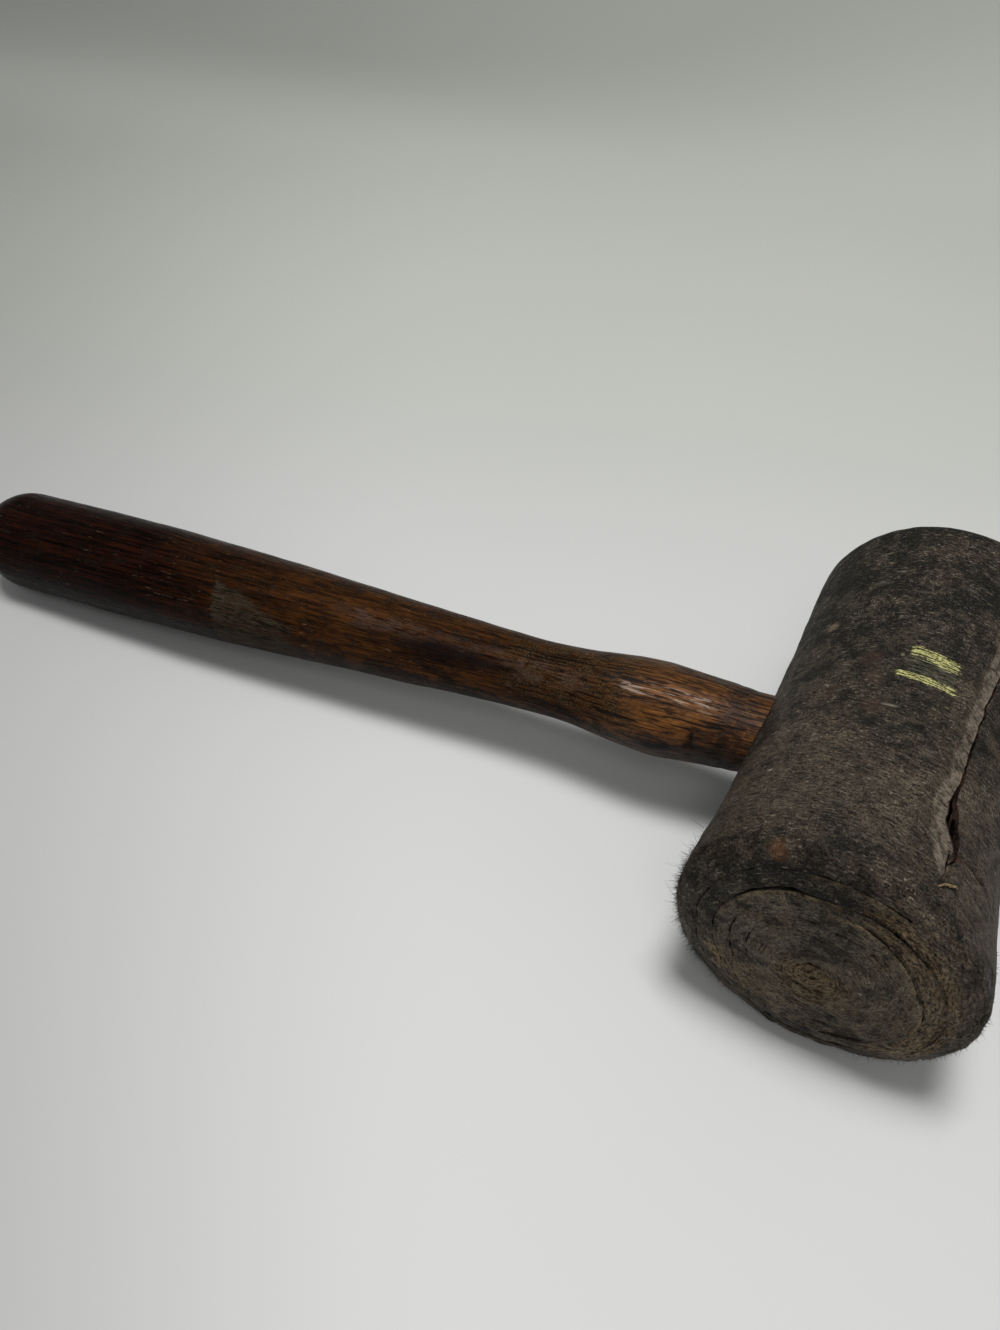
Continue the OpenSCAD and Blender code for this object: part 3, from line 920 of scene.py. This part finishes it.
def stain_and_shade_mask(around, s, from_top):
    """Old dark stains, a long blot on the narrow part and one by the neck; painted shade beside the head."""
    blot = 1.15 * blob(s, from_top, (128, -48), (22, 19))
    low = blob(s, from_top, (60, -96), (14, 16))
    # Painted shade: a dark ring in the groove beside the head, and a dark patch on the near side next to it
    ring = 0.7 * bump(s, RING_S, 2.2) * (0.5 + 0.5 * np.clip(noise(around, 5, 66), -1, 1))
    corner = blob(s, from_top, (46, -84), (6.5, 30)) * (1.1 + 0.5 * noise(around, (3, 3, 6), 68))
    ragged = 0.25 * noise(around, (9, 9, 20), 65) * (blot + low)
    return np.clip(blot + 0.8 * low + ring + corner + ragged, 0, 1)


def kerf_cutter():
    """The saw cut for the wedge, as in the part's source."""
    half, tip = WEDGE_T / 2 + WEDGE_GAP, WEDGE_TIP_T / 2 + WEDGE_GAP
    side = [(half, TENON_END - 3), (half, TENON_END), (tip, TENON_END + WEDGE_L), (tip, TENON_END + KERF_L)]
    outline = side + [(-y, z) for y, z in side[::-1]]
    return grid_mesh("kerf", np.array([[(x, y, z) for y, z in outline] for x in (-16.0, 16.0)]))


# Materials

def linear(red, green, blue):
    """A colour given as it shows, from 0 to 255, as the shader's numbers."""
    parts = [c / 255 for c in (red, green, blue)]
    return (*[p / 12.92 if p <= 0.04045 else ((p + 0.055) / 1.055) ** 2.4 for p in parts], 1)


# Scales a place in metres to millimetres
TO_MM = (1 / MM,) * 3


class Wire:
    """What comes out of a node. Sums and products of wires are made by further nodes."""

    def __init__(self, make, socket):
        self.make = make
        self.socket = socket

    def __add__(self, other):
        return self.make.math("ADD", self, other)

    def __sub__(self, other):
        return self.make.math("SUBTRACT", self, other)

    def __mul__(self, other):
        return self.make.math("MULTIPLY", self, other)

    def __truediv__(self, other):
        return self.make.math("DIVIDE", self, other)

    def __abs__(self):
        return self.make.math("ABSOLUTE", self)

    def steps(self, low, high, to_low=0.0, to_high=1.0):
        """A smooth step from to_low at low to to_high at high; low may be the larger."""
        inputs = {0: self, 1: low, 2: high, 3: to_low, 4: to_high}
        return self.make.put("ShaderNodeMapRange", inputs, interpolation_type="SMOOTHSTEP")

    def window(self, low, high, soft):
        return self.steps(low - soft, low) * self.steps(high, high + soft, 1.0, 0.0)


class Shader:
    """One material's nodes, with the colour that has been painted so far."""

    def __init__(self, name, color):
        self.material = bpy.data.materials.new(name)
        self.material.use_nodes = True
        self.nodes = self.material.node_tree.nodes
        self.color = color

    def feed(self, socket, value):
        if isinstance(value, Wire):
            self.material.node_tree.links.new(value.socket, socket)
        else:
            socket.default_value = value

    def put(self, kind, inputs, output=0, **settings):
        node = self.nodes.new(kind)
        for key, value in settings.items():
            setattr(node, key, value)
        for key, value in inputs.items():
            self.feed(node.inputs[key], value)
        return Wire(self, node.outputs[output])

    def math(self, operation, *values):
        return self.put("ShaderNodeMath", dict(enumerate(values)), operation=operation)

    def most(self, a, b):
        return self.math("MAXIMUM", a, b)

    def vectors(self, operation, *values, output=0):
        return self.put("ShaderNodeVectorMath", dict(enumerate(values)), output, operation=operation)

    def scaled(self, vector, by):
        return self.vectors("MULTIPLY", vector, by)

    def away_from(self, vector, place, stretch=(1, 1, 1)):
        """Distance from a place; stretch weighs each axis."""
        return self.vectors("LENGTH", self.scaled(self.vectors("SUBTRACT", vector, place), stretch), output=1)

    def apart(self, vector):
        node = self.nodes.new("ShaderNodeSeparateXYZ")
        self.feed(node.inputs[0], vector)
        return [Wire(self, socket) for socket in node.outputs]

    def together(self, x, y, z):
        return self.put("ShaderNodeCombineXYZ", {0: x, 1: y, 2: z})

    def read(self, name):
        """One of the masks that the mesh carries."""
        return self.put("ShaderNodeAttribute", {}, 2, attribute_name=name)

    def place_mm(self):
        """The point in the piece's own frame, in millimetres."""
        return self.put("ShaderNodeAttribute", {}, 1, attribute_name="place")

    def noise(self, vector, size, detail, roughness, distortion=0.0):
        """Noise from 0 to 1 whose features are size apart, in millimetres."""
        inputs = {"Vector": vector, "Scale": 1 / size, "Detail": detail, "Roughness": roughness,
                  "Distortion": distortion}
        return self.put("ShaderNodeTexNoise", inputs)

    def brushed(self, vector, way, size, reach, detail, roughness):
        """Noise drawn out along a direction: the mean of samples along it, up to reach away."""
        samples = []
        for k in (-1.0, -0.33, 0.33, 1.0):
            spot = self.vectors("MULTIPLY_ADD", way, (reach * k,) * 3, vector)
            samples.append(self.noise(spot, size, detail, roughness))
        return sum(samples[1:], samples[0]) * (1 / len(samples))

    def mix(self, factor, low, high):
        """A blend of two colours, each of them a wire or a colour as it shows."""
        low, high = (color if isinstance(color, Wire) else linear(*color) for color in (low, high))
        return self.put("ShaderNodeMix", {0: factor, 6: low, 7: high}, 2, data_type="RGBA")

    def paint(self, mask, tint):
        """Lays a colour over those painted before, as thick as the mask says."""
        self.color = self.mix(mask, self.color, tint)

    def bump(self, height, strength, distance_mm):
        inputs = {"Height": height, "Strength": strength, "Distance": distance_mm * MM}
        return self.put("ShaderNodeBump", inputs)

    def finish(self, **inputs):
        """Feeds the surface with the painted colour and the inputs, and returns the material."""
        surface = self.nodes["Principled BSDF"].inputs
        for key, value in {"Base_Color": self.color, **inputs}.items():
            self.feed(surface[key.replace("_", " ")], value)
        return self.material


def hide_material(name, dark, mid, light, chalked=False):
    """Old rawhide, dirty, scuffed, fibrous, lighter where worn, with painted shade in cracks and grooves."""
    make = Shader(name, dark)
    place_mm = make.place_mm()
    x, y, z = make.apart(place_mm)
    r = make.math("SQRT", x * x + z * z)
    way_round = make.together(z * -1.0 / r, 0.0, x / r)
    worn = make.read("worn")

    cloud = make.noise(place_mm, 13, 3, 0.6)
    patch = make.noise(place_mm, 4.0, 4, 0.65, 0.3)
    fleck = make.brushed(place_mm, way_round, 0.62, 0.5, 4, 0.7)
    thread = make.brushed(place_mm, way_round, 1.6, 1.8, 3, 0.6)
    grit = make.noise(place_mm, 0.55, 3, 0.7)
    curl = make.noise(place_mm, 2.6, 3, 0.6, 0.5)

    # Broad tone: dark dirt, lighter where the hide is worn, darker with the painted shade mask
    tone = cloud * 0.5 + patch * 0.8 + thread * 0.25 - 0.28 + worn * 0.14 - make.read("painted_shade") * 0.1
    make.paint(tone.steps(0.38, 0.52), mid)
    make.paint(tone.steps(0.5, 0.72) * 0.9, light)
    make.paint(worn * (fleck + patch * 0.4).steps(0.56, 0.74) * 0.6, (96, 84, 72))
    band = worn.steps(0.5, 0.9)
    pale = make.mix((patch + fleck).steps(0.86, 1.14), (76, 67, 58), (136, 124, 110))
    make.paint(band * 0.85, pale)
    make.paint(make.read("grey") * (patch + thread).steps(0.88, 1.08) * 0.55, (84, 79, 68))
    tan_tint = make.mix(fleck.steps(0.45, 0.56), (74, 60, 41), (136, 114, 80))
    make.paint(make.read("tan") * (thread + grit).steps(0.8, 1.1, 0.35, 0.9), tan_tint)
    # Painted highlight along the raised outer edges of the turns
    make.paint(make.read("lip") * patch.steps(0.34, 0.5, 0.4, 1.0) * 0.85, (146, 126, 94))

    # Fine scuffs: light flecks along the fibres, thin curled scratches, and dirt between them
    scuffed = (patch + worn * 0.1).steps(0.38, 0.6, 0.35, 1.0)
    scuff_tint = make.mix(cloud.steps(0.4, 0.6), (114, 109, 96), (124, 109, 89))
    make.paint(fleck.steps(0.54, 0.59) * scuffed * 0.74, scuff_tint)
    dirt = band.steps(0, 1, 1.0, 0.7)
    make.paint(fleck.steps(0.485, 0.43) * dirt * 0.85, (12, 10, 8))
    make.paint(grit.steps(0.47, 0.38) * dirt * 0.85, (10, 9, 8))
    make.paint(grit.steps(0.57, 0.66) * scuffed * 0.55, scuff_tint)
    line = abs(curl - 0.5).steps(0.014, 0.004)
    make.paint(line * (fleck + cloud * 0.4).steps(0.7, 0.78) * 0.6, (150, 144, 130))
    specks = make.noise(place_mm, 1.1, 4, 0.75, 0.6).steps(0.67, 0.71)
    make.paint(specks * scuffed * 0.7, (170, 162, 150))

    if chalked:
        paint_spots(make, place_mm, fleck, patch, grit)
        paint_chalk(make, make.math("ARCTAN2", x, z), y)
        paint_rust(make, place_mm, patch, grit)
    # Painted shade: grooves, cracks, sunk edges and hidden insides go near black, mixed with red-brown
    inside = make.mix(y.steps(-62, -54), (30, 23, 17), (68, 48, 39))
    deep = make.mix((patch + grit).steps(0.86, 1.1), (10, 8, 7), inside)
    make.paint(make.read("groove").steps(0.05, 0.8) * 0.94, deep)
    height = fleck * 1.2 + grit * 0.45 + patch * 0.9 + thread * 0.5
    return make.finish(Roughness=tone.steps(0.3, 0.6, 0.75, 0.6), Specular_IOR_Level=0.14,
                       Normal=make.bump(height, 0.8, 0.5))


# Small spots on the head's side: (angle, y), half sizes round the head and along it, colour, strength
SIDE_SPOTS = [
    (139.0, 21.8, 3.2, 1.8, (132, 116, 96), 0.9),
    (136.5, -38.3, 0.8, 0.5, (190, 180, 168), 0.9),
    (117.5, -43.7, 0.4, 0.35, (176, 164, 150), 0.8),
    (115.0, 43.4, 1.2, 0.5, (170, 172, 168), 0.9),
    (121.5, 38.2, 3.8, 1.1, (104, 98, 88), 0.8),
    (101.5, 34.2, 3.0, 0.6, (104, 96, 86), 0.7),
    (113.0, 5.0, 3.6, 3.0, (78, 54, 44), 0.55),
    (109.0, -2.5, 3.4, 2.6, (80, 60, 46), 0.5),
    (126.0, -9.0, 3.0, 2.4, (74, 50, 38), 0.45),
    (106.0, -13.0, 4.2, 3.4, (74, 50, 40), 0.5),
    (99.0, -11.9, 2.2, 0.5, (140, 134, 122), 0.8),
    (123.5, -26.0, 0.5, 3.2, (112, 106, 92), 0.7),
    (80.0, -22.9, 2.2, 1.6, (94, 88, 76), 0.6),
    (84.5, 40.4, 2.4, 1.2, (112, 108, 100), 0.6),
    (101.5, 7.6, 0.5, 0.7, (150, 148, 124), 0.6),
    (41.0, -55.0, 3.4, 3.0, (82, 56, 42), 0.5),
    (29.0, -58.0, 3.0, 3.4, (76, 52, 42), 0.5),
    (50.0, -60.0, 3.2, 2.0, (84, 62, 46), 0.5),
    (36.0, -44.0, 2.6, 2.4, (74, 52, 44), 0.4),
]


def paint_spots(make, place_mm, fleck, patch, grit):
    broken = fleck.steps(0.44, 0.56, 0.35, 1.0)
    for angle, y, half_round, half_along, tint, strength in SIDE_SPOTS:
        middle = tuple(spoke(angle) * WAIST_R + HEAD_AXIS * y)
        near = make.away_from(place_mm, middle, (1 / half_round, 1 / half_along, 0.5))
        spot = (near + patch * 1.6 + grit * 1.8).steps(3.0, 1.9)
        make.paint(spot * broken * strength, tint)


def paint_chalk(make, angle, y):
    """Two strokes of yellow chalk across the top of the head, rubbed thin.

    The angle is in radians, from the head's top towards +X.
    """
    degrees = angle * (-180 / math.pi) + 90
    laid = make.together(angle * WAIST_R, y, 0.0)
    brush = make.noise(make.scaled(laid, (0.16, 1.9, 1)), 0.9, 3, 0.62)
    crumbs = make.noise(laid, 0.7, 3, 0.65)
    ragged = (brush - 0.5) * 2.0
    ends = degrees + (brush - 0.5) * 14
    upper = abs(y - 10.5 + degrees.steps(99, 78, 0.0, 1.4) + ragged).steps(1.2, 2.8, 1.0, 0.0)
    lower = abs(y - 0.8 + ragged).steps(0.8, 1.7, 1.0, 0.0)
    strong = make.most(upper * ends.window(80, 98, 2.5) * 0.85, lower * ends.window(80, 101, 2.0))
    faint = y.window(3.0, 8.2, 1.5) * degrees.window(80, 96, 4)
    streaks = brush * 2.6 + crumbs * 0.8 - 1.7
    make.paint(faint * streaks.steps(-0.04, 0.2) * 0.4, (118, 120, 96))
    cover = (streaks + strong * 0.36).steps(0.2, 0.42) * strong.steps(0.0, 0.3)
    make.paint(cover * 0.9, make.mix(crumbs.steps(0.4, 0.6), (164, 162, 104), (208, 206, 134)))


def paint_rust(make, place_mm, patch, grit):
    """Rust that has crept into the hide round the near brad."""
    brad_r = near_brad_place()[0] + 1.5
    middle = tuple(spoke(NEAR_BRAD_A) * brad_r + HEAD_AXIS * NEAR_BRAD_Y)
    ragged = make.away_from(place_mm, middle) + patch * 2.2 + grit * 1.2
    make.paint(ragged.steps(4.9, 2.9) * 0.6, (100, 66, 38))


def fuzz_material():
    make = Shader("fibre_fuzz", (28, 24, 20))
    make.paint(make.noise(make.place_mm(), 2.5, 2, 0.5).steps(0.35, 0.65), (72, 63, 50))
    return make.finish(Roughness=0.8, Specular_IOR_Level=0.2)


def straw_material():
    make = Shader("pale_straw", (92, 78, 52))
    make.paint(make.noise(make.place_mm(), 0.8, 3, 0.6).steps(0.35, 0.65), (150, 132, 92))
    return make.finish(Roughness=0.7, Specular_IOR_Level=0.2)


def wood_material():
    """Turned hardwood under old varnish: dark and red at the grip, worn to orange beside the head."""
    make = Shader("varnished_wood", (5, 3, 2))
    place_mm = make.place_mm()
    x, y, s = make.apart(place_mm)

    def drawn(squeeze, *settings):
        """Noise drawn out along the handle."""
        return make.noise(make.scaled(place_mm, (1, 1, squeeze)), *settings)

    grain = drawn(0.03, 1.1, 4, 0.65, 0.3)
    fine = drawn(0.045, 0.36, 3, 0.65)
    pores = drawn(0.03, 0.62, 2, 0.6, 0.15)
    clumps = drawn(0.09, 1.9, 3, 0.6, 0.3)
    cloud = drawn(0.4, 10, 4, 0.62)
    mottle = drawn(0.55, 3.0, 4, 0.7, 0.4)
    shine = drawn(0.05, 0.55, 2, 0.6)
    crust = make.noise(place_mm, 2.4, 5, 0.74, 0.6)
    grit = make.noise(place_mm, 0.5, 2, 0.6)

    # Three stretches: the dark grip, the brown middle and the orange neck, with ragged borders
    bare = (s + cloud * 50).steps(122, 88)
    middle = (s + cloud * 110).steps(305, 205)
    streak = grain * 0.7 + fine * 0.5 - 0.1
    make.paint(streak.steps(0.42, 0.62), (42, 17, 8))
    make.paint(middle, make.mix(streak.steps(0.32, 0.68), (21, 12, 6), (82, 50, 22)))
    # Painted shade: the orange is laid on thinner towards the far side
    lit = (y + cloud * 9).steps(8, 1, 0.45, 1.0)
    orange = make.mix(streak.steps(0.38, 0.62), (77, 45, 16), (135, 87, 41))
    make.paint(bare * lit * mottle.steps(0.36, 0.54, 0.3, 1.0), orange)

    # Old varnish and dirt: dark mottling in the middle, and a crust on top of the slim place and down the
    # far side beside the head
    make.paint(mottle.steps(0.47, 0.66) * s.steps(60, 90, 0.35, 0.8), (15, 9, 7))
    crusted = make.most(s.window(76, 106, 10) * x.steps(0, 5), y.steps(1.5, 6) * s.steps(120, 90))
    crust_tint = make.mix(grit.steps(0.4, 0.6), (29, 20, 12), (76, 59, 38))
    make.paint(crusted * crust.steps(0.41, 0.53) * 0.88, crust_tint)
    # The tenon is kept clean of the soot beside the head and of the painted shade on the underside
    bared = s.steps(34, 38)
    sooty = (s + mottle * 18).steps(62, 50) * crust.steps(0.4, 0.54) * bared
    make.paint(sooty * 0.7, (36, 29, 25))
    # Painted shade: the underside is painted near black, with a ragged edge
    under = (x - mottle * 18).steps(-8, -12) * bared * (mottle + grit).steps(0.85, 1.15, 0.6, 1.0)
    make.paint(under * 0.92, (11, 10, 8))
    weathered = x.steps(-2, -8) * (crust + grit).steps(0.98, 1.16) * bared * s.steps(130, 80)
    make.paint(weathered * 0.7, (92, 86, 74))
    dusty = (mottle + grit * 0.6).steps(0.88, 0.98)
    make.paint(dusty * s.steps(250, 190, 0.2, 0.5) * s.steps(150, 60, 1.0, 0.4) * 0.35, (100, 80, 62))

    # Open pores, clumped, and painted highlights: glints where the varnish is left on the neck, and a sheen
    thin = pores.steps(0.53, 0.59) * s.steps(200, 90, 0.35, 0.9)
    black = clumps.steps(0.57, 0.64) * pores.steps(0.44, 0.5) * s.steps(110, 70)
    open_pores = make.most(thin, black)
    make.paint(open_pores * 0.92, (10, 6, 4))
    # Painted highlight: pale glints on the neck's near top
    painted_glints = y.window(-7.4, -4.2, 0.9) * x.steps(5, 8) * s.window(50, 72, 5)
    painted_glints = painted_glints * shine.steps(0.54, 0.6) * clumps.steps(0.56, 0.48)
    make.paint(painted_glints * 0.75, (172, 152, 138))
    # Painted sheen: a pale streaky band along the near top of the middle
    painted_sheen = y.window(-8.2, -5.2, 2) * x.steps(3, 7) * s.window(92, 160, 14)
    painted_sheen = painted_sheen * mottle.steps(0.4, 0.56) * fine.steps(0.42, 0.58, 0.25, 1.0)
    make.paint(painted_sheen * 0.32, (116, 92, 80))
    scratches = make.noise(make.scaled(place_mm, (0.7, 1.2, 0.12)), 0.9, 3, 0.7)
    make.paint(scratches.steps(0.66, 0.7) * 0.45, (122, 94, 72))

    # The marks
    # The stains, with the painted shade beside the head
    stain_and_shade = make.read("stain_and_shade") * (streak + mottle).steps(0.8, 1.1, 0.7, 1.0)
    make.paint(stain_and_shade * 0.9, (10, 7, 9))
    # Painted shade: the nick is painted near black
    make.paint(make.read("nick") * 0.92, (6, 4, 3))
    scuff = make.read("scuff") * (fine + grit).steps(0.85, 1.1, 0.4, 1.0)
    scuff_tint = make.mix((mottle + fine).steps(0.85, 1.15), (30, 24, 18), (66, 58, 47))
    make.paint(scuff * 0.88, scuff_tint)
    dull = scuff * 0.35 + open_pores * 0.15 + (mottle - 0.5) * 0.5
    height = open_pores * -0.8 + grain * 0.7 + fine * 0.5 + crust + grit * 0.25
    return make.finish(Roughness=bare.steps(0, 1, 0.3, 0.42) + dull,
                       Specular_IOR_Level=bare.steps(0, 1, 0.035, 0.14), Normal=make.bump(height, 0.5, 0.3))


def end_wood_material():
    """Pale split wood of the wedge, whose mesh is the part's own."""
    make = Shader("wedge_wood", (84, 60, 38))
    place_mm = make.scaled(make.put("ShaderNodeTexCoord", {}, 3), TO_MM)
    streaks = make.noise(make.scaled(place_mm, (0.08, 1, 1)), 0.7, 4, 0.6)
    make.paint(streaks.steps(0.35, 0.65), (134, 104, 70))
    return make.finish(Roughness=0.7, Normal=make.bump(streaks, 0.4, 0.15))


def rust_material():
    make = Shader("rusty_steel", (66, 44, 28))
    scale = make.noise(make.place_mm(), 0.9, 5, 0.7)
    make.paint(scale.steps(0.35, 0.7), (122, 82, 46))
    return make.finish(Roughness=0.85, Normal=make.bump(scale, 0.7, 0.2))


def bench_material():
    """A pale board with painted light falloff: darker to the left and to the back."""
    make = Shader("bench_board", (218, 218, 218))
    place_mm = make.scaled(make.put("ShaderNodeNewGeometry", {}), TO_MM)
    x, y, _ = make.apart(place_mm)
    make.paint(make.noise(place_mm, 260, 2, 0.5), (224, 224, 224))
    # How far a place lies from straight left, as the angle seen from FADE_FROM, and how far back it lies
    across = abs(make.math("ARCTAN2", y - FADE_FROM[1], x * -1 + FADE_FROM[0]))
    depth = x * -0.34 + y * 0.94
    darkest = make.most(depth.steps(440, 620, 0.67, 1.0), depth.steps(-230, -420, 0.67, 1.0))
    left = across.steps(math.radians(33), math.radians(60), darkest, 1.0)
    level = left * (depth.steps(-20, 190, 1.0, 0.87) * depth.steps(470, 690, 1.0, 0.76))
    # Painted light falloff: the board's colour is scaled down towards the left and the back
    make.color = make.scaled(make.color, make.together(level, level, level))
    make.paint(depth.steps(0, 260), make.scaled(make.color, (0.985, 1.01, 0.95)))
    return make.finish(Roughness=0.55, Specular_IOR_Level=0.3,
                       Normal=make.bump(make.noise(place_mm, 1.2, 2, 0.5), 0.1, 0.05))


# Stage, lamps and camera

# The bench runs back to this line, seen near the top of the view, and then curves up
BEND_FROM = np.array([100.0, 466.0])
BEND_TO = np.array([-314.0, 519.0])
BEND_R = 420.0
BENCH_REACH = 2600.0
# The place behind the camera from which the painted light falloff to the bench's left is measured
FADE_FROM = (261, -439)


def build_stage():
    """A pale bench that sweeps up into a backdrop."""
    along = unit(BEND_FROM - BEND_TO)
    away = np.array([-along[1], along[0]])
    turn = np.linspace(0, np.pi / 2, 40)
    flat = np.linspace(-BENCH_REACH, 0, 30)[:-1]
    depth = np.concatenate([flat, BEND_R * np.sin(turn), [BEND_R]])
    height = np.concatenate([0 * flat, BEND_R * (1 - np.cos(turn)), [BENCH_REACH]])
    across = np.linspace(-BENCH_REACH, BENCH_REACH, 40)
    points = [[(*(BEND_TO + along * a + away * d), h) for d, h in zip(depth, height)] for a in across]
    index = np.arange(len(across) * len(depth)).reshape(len(across), -1)
    faces = np.stack([index[:-1, :-1], index[1:, :-1], index[1:, 1:], index[:-1, 1:]], -1).reshape(-1, 4)
    bench = add_object("bench", mesh_of("bench", np.array(points).reshape(-1, 3), faces.tolist()))
    bench.data.materials.append(bench_material())


# The lamps: name, size along each side and place, in metres, and power in watts
LAMPS = [
    ("ceiling_light", (0.32, 0.32), (0.06, -0.04, 1.15), 8.9),
    ("second_ceiling_light", (0.3, 0.26), (0.35, -0.6, 1.0), 0.9),
]


def build_lamps():
    world = bpy.context.scene.world or bpy.data.worlds.new("room")
    bpy.context.scene.world = world
    world.use_nodes = True
    background = world.node_tree.nodes["Background"].inputs
    background["Color"].default_value = (0.98, 1.0, 0.98, 1)
    background["Strength"].default_value = 0.235
    for name, (size_x, size_y), place_m, power in LAMPS:
        light = bpy.data.lights.new(name, "AREA")
        light.shape = "RECTANGLE"
        light.size = size_x
        light.size_y = size_y
        light.energy = power
        light.color = (1.0, 0.995, 0.985)
        lamp = add_object(name, light)
        lamp.location = place_m
        lamp.rotation_euler = (-Vector(place_m)).to_track_quat("-Z", "Y").to_euler()


# The camera, as fitted to the photograph's outlines
CAMERA_AZIMUTH = 28.68
CAMERA_ELEVATION = 46.44
CAMERA_ROLL = 0.64
CAMERA_DISTANCE = 358.2
CAMERA_AIM = np.array([11.7, 13.1, 0.0])
CAMERA_LENS = 27.34


def build_camera():
    azimuth, elevation, roll = (math.radians(a) for a in (CAMERA_AZIMUTH, CAMERA_ELEVATION, CAMERA_ROLL))
    back = np.array([math.sin(azimuth) * math.cos(elevation), -math.cos(azimuth) * math.cos(elevation),
                     math.sin(elevation)])
    right = unit(np.cross([0, 0, 1], back))
    up = np.cross(back, right)
    rolled_right = right * math.cos(roll) + up * math.sin(roll)
    rolled_up = up * math.cos(roll) - right * math.sin(roll)
    data = bpy.data.cameras.new("camera")
    data.lens = CAMERA_LENS
    data.sensor_width = 36
    data.clip_start = 0.01
    camera = add_object("camera", data)
    camera.matrix_world = place(rolled_right, rolled_up, back, CAMERA_AIM + back * CAMERA_DISTANCE)
    bpy.context.scene.camera = camera


build_camera()
build_lamps()
build_stage()
outer_hide = hide_material("outer_hide", (32, 29, 25), (55, 48, 40), (79, 69, 58), chalked=True)
inner_hide = hide_material("inner_hide", (47, 40, 31), (80, 69, 54), (110, 96, 76))
core_hide = hide_material("core_hide", (48, 39, 28), (80, 66, 47), (116, 97, 69))
build_head(outer_hide, inner_hide, core_hide)
build_brads(rust_material())
add_piece("rim_fuzz", fuzz_mesh(6000, 71), HEAD, fuzz_material(), "outer_hide")
straws = [straw_mesh(path, 0.16, 75 + k) for k, path in enumerate(STRAWS)]
add_piece("torn_straws", joined("torn_straws", straws), HEAD, straw_material(), "outer_hide")
build_handle(wood_material())
wedge = frame["nodes"]["handle_wedge"]
wedge.data.materials.clear()
wedge.data.materials.append(end_wood_material())

scene = bpy.context.scene
scene.view_settings.view_transform = "Standard"
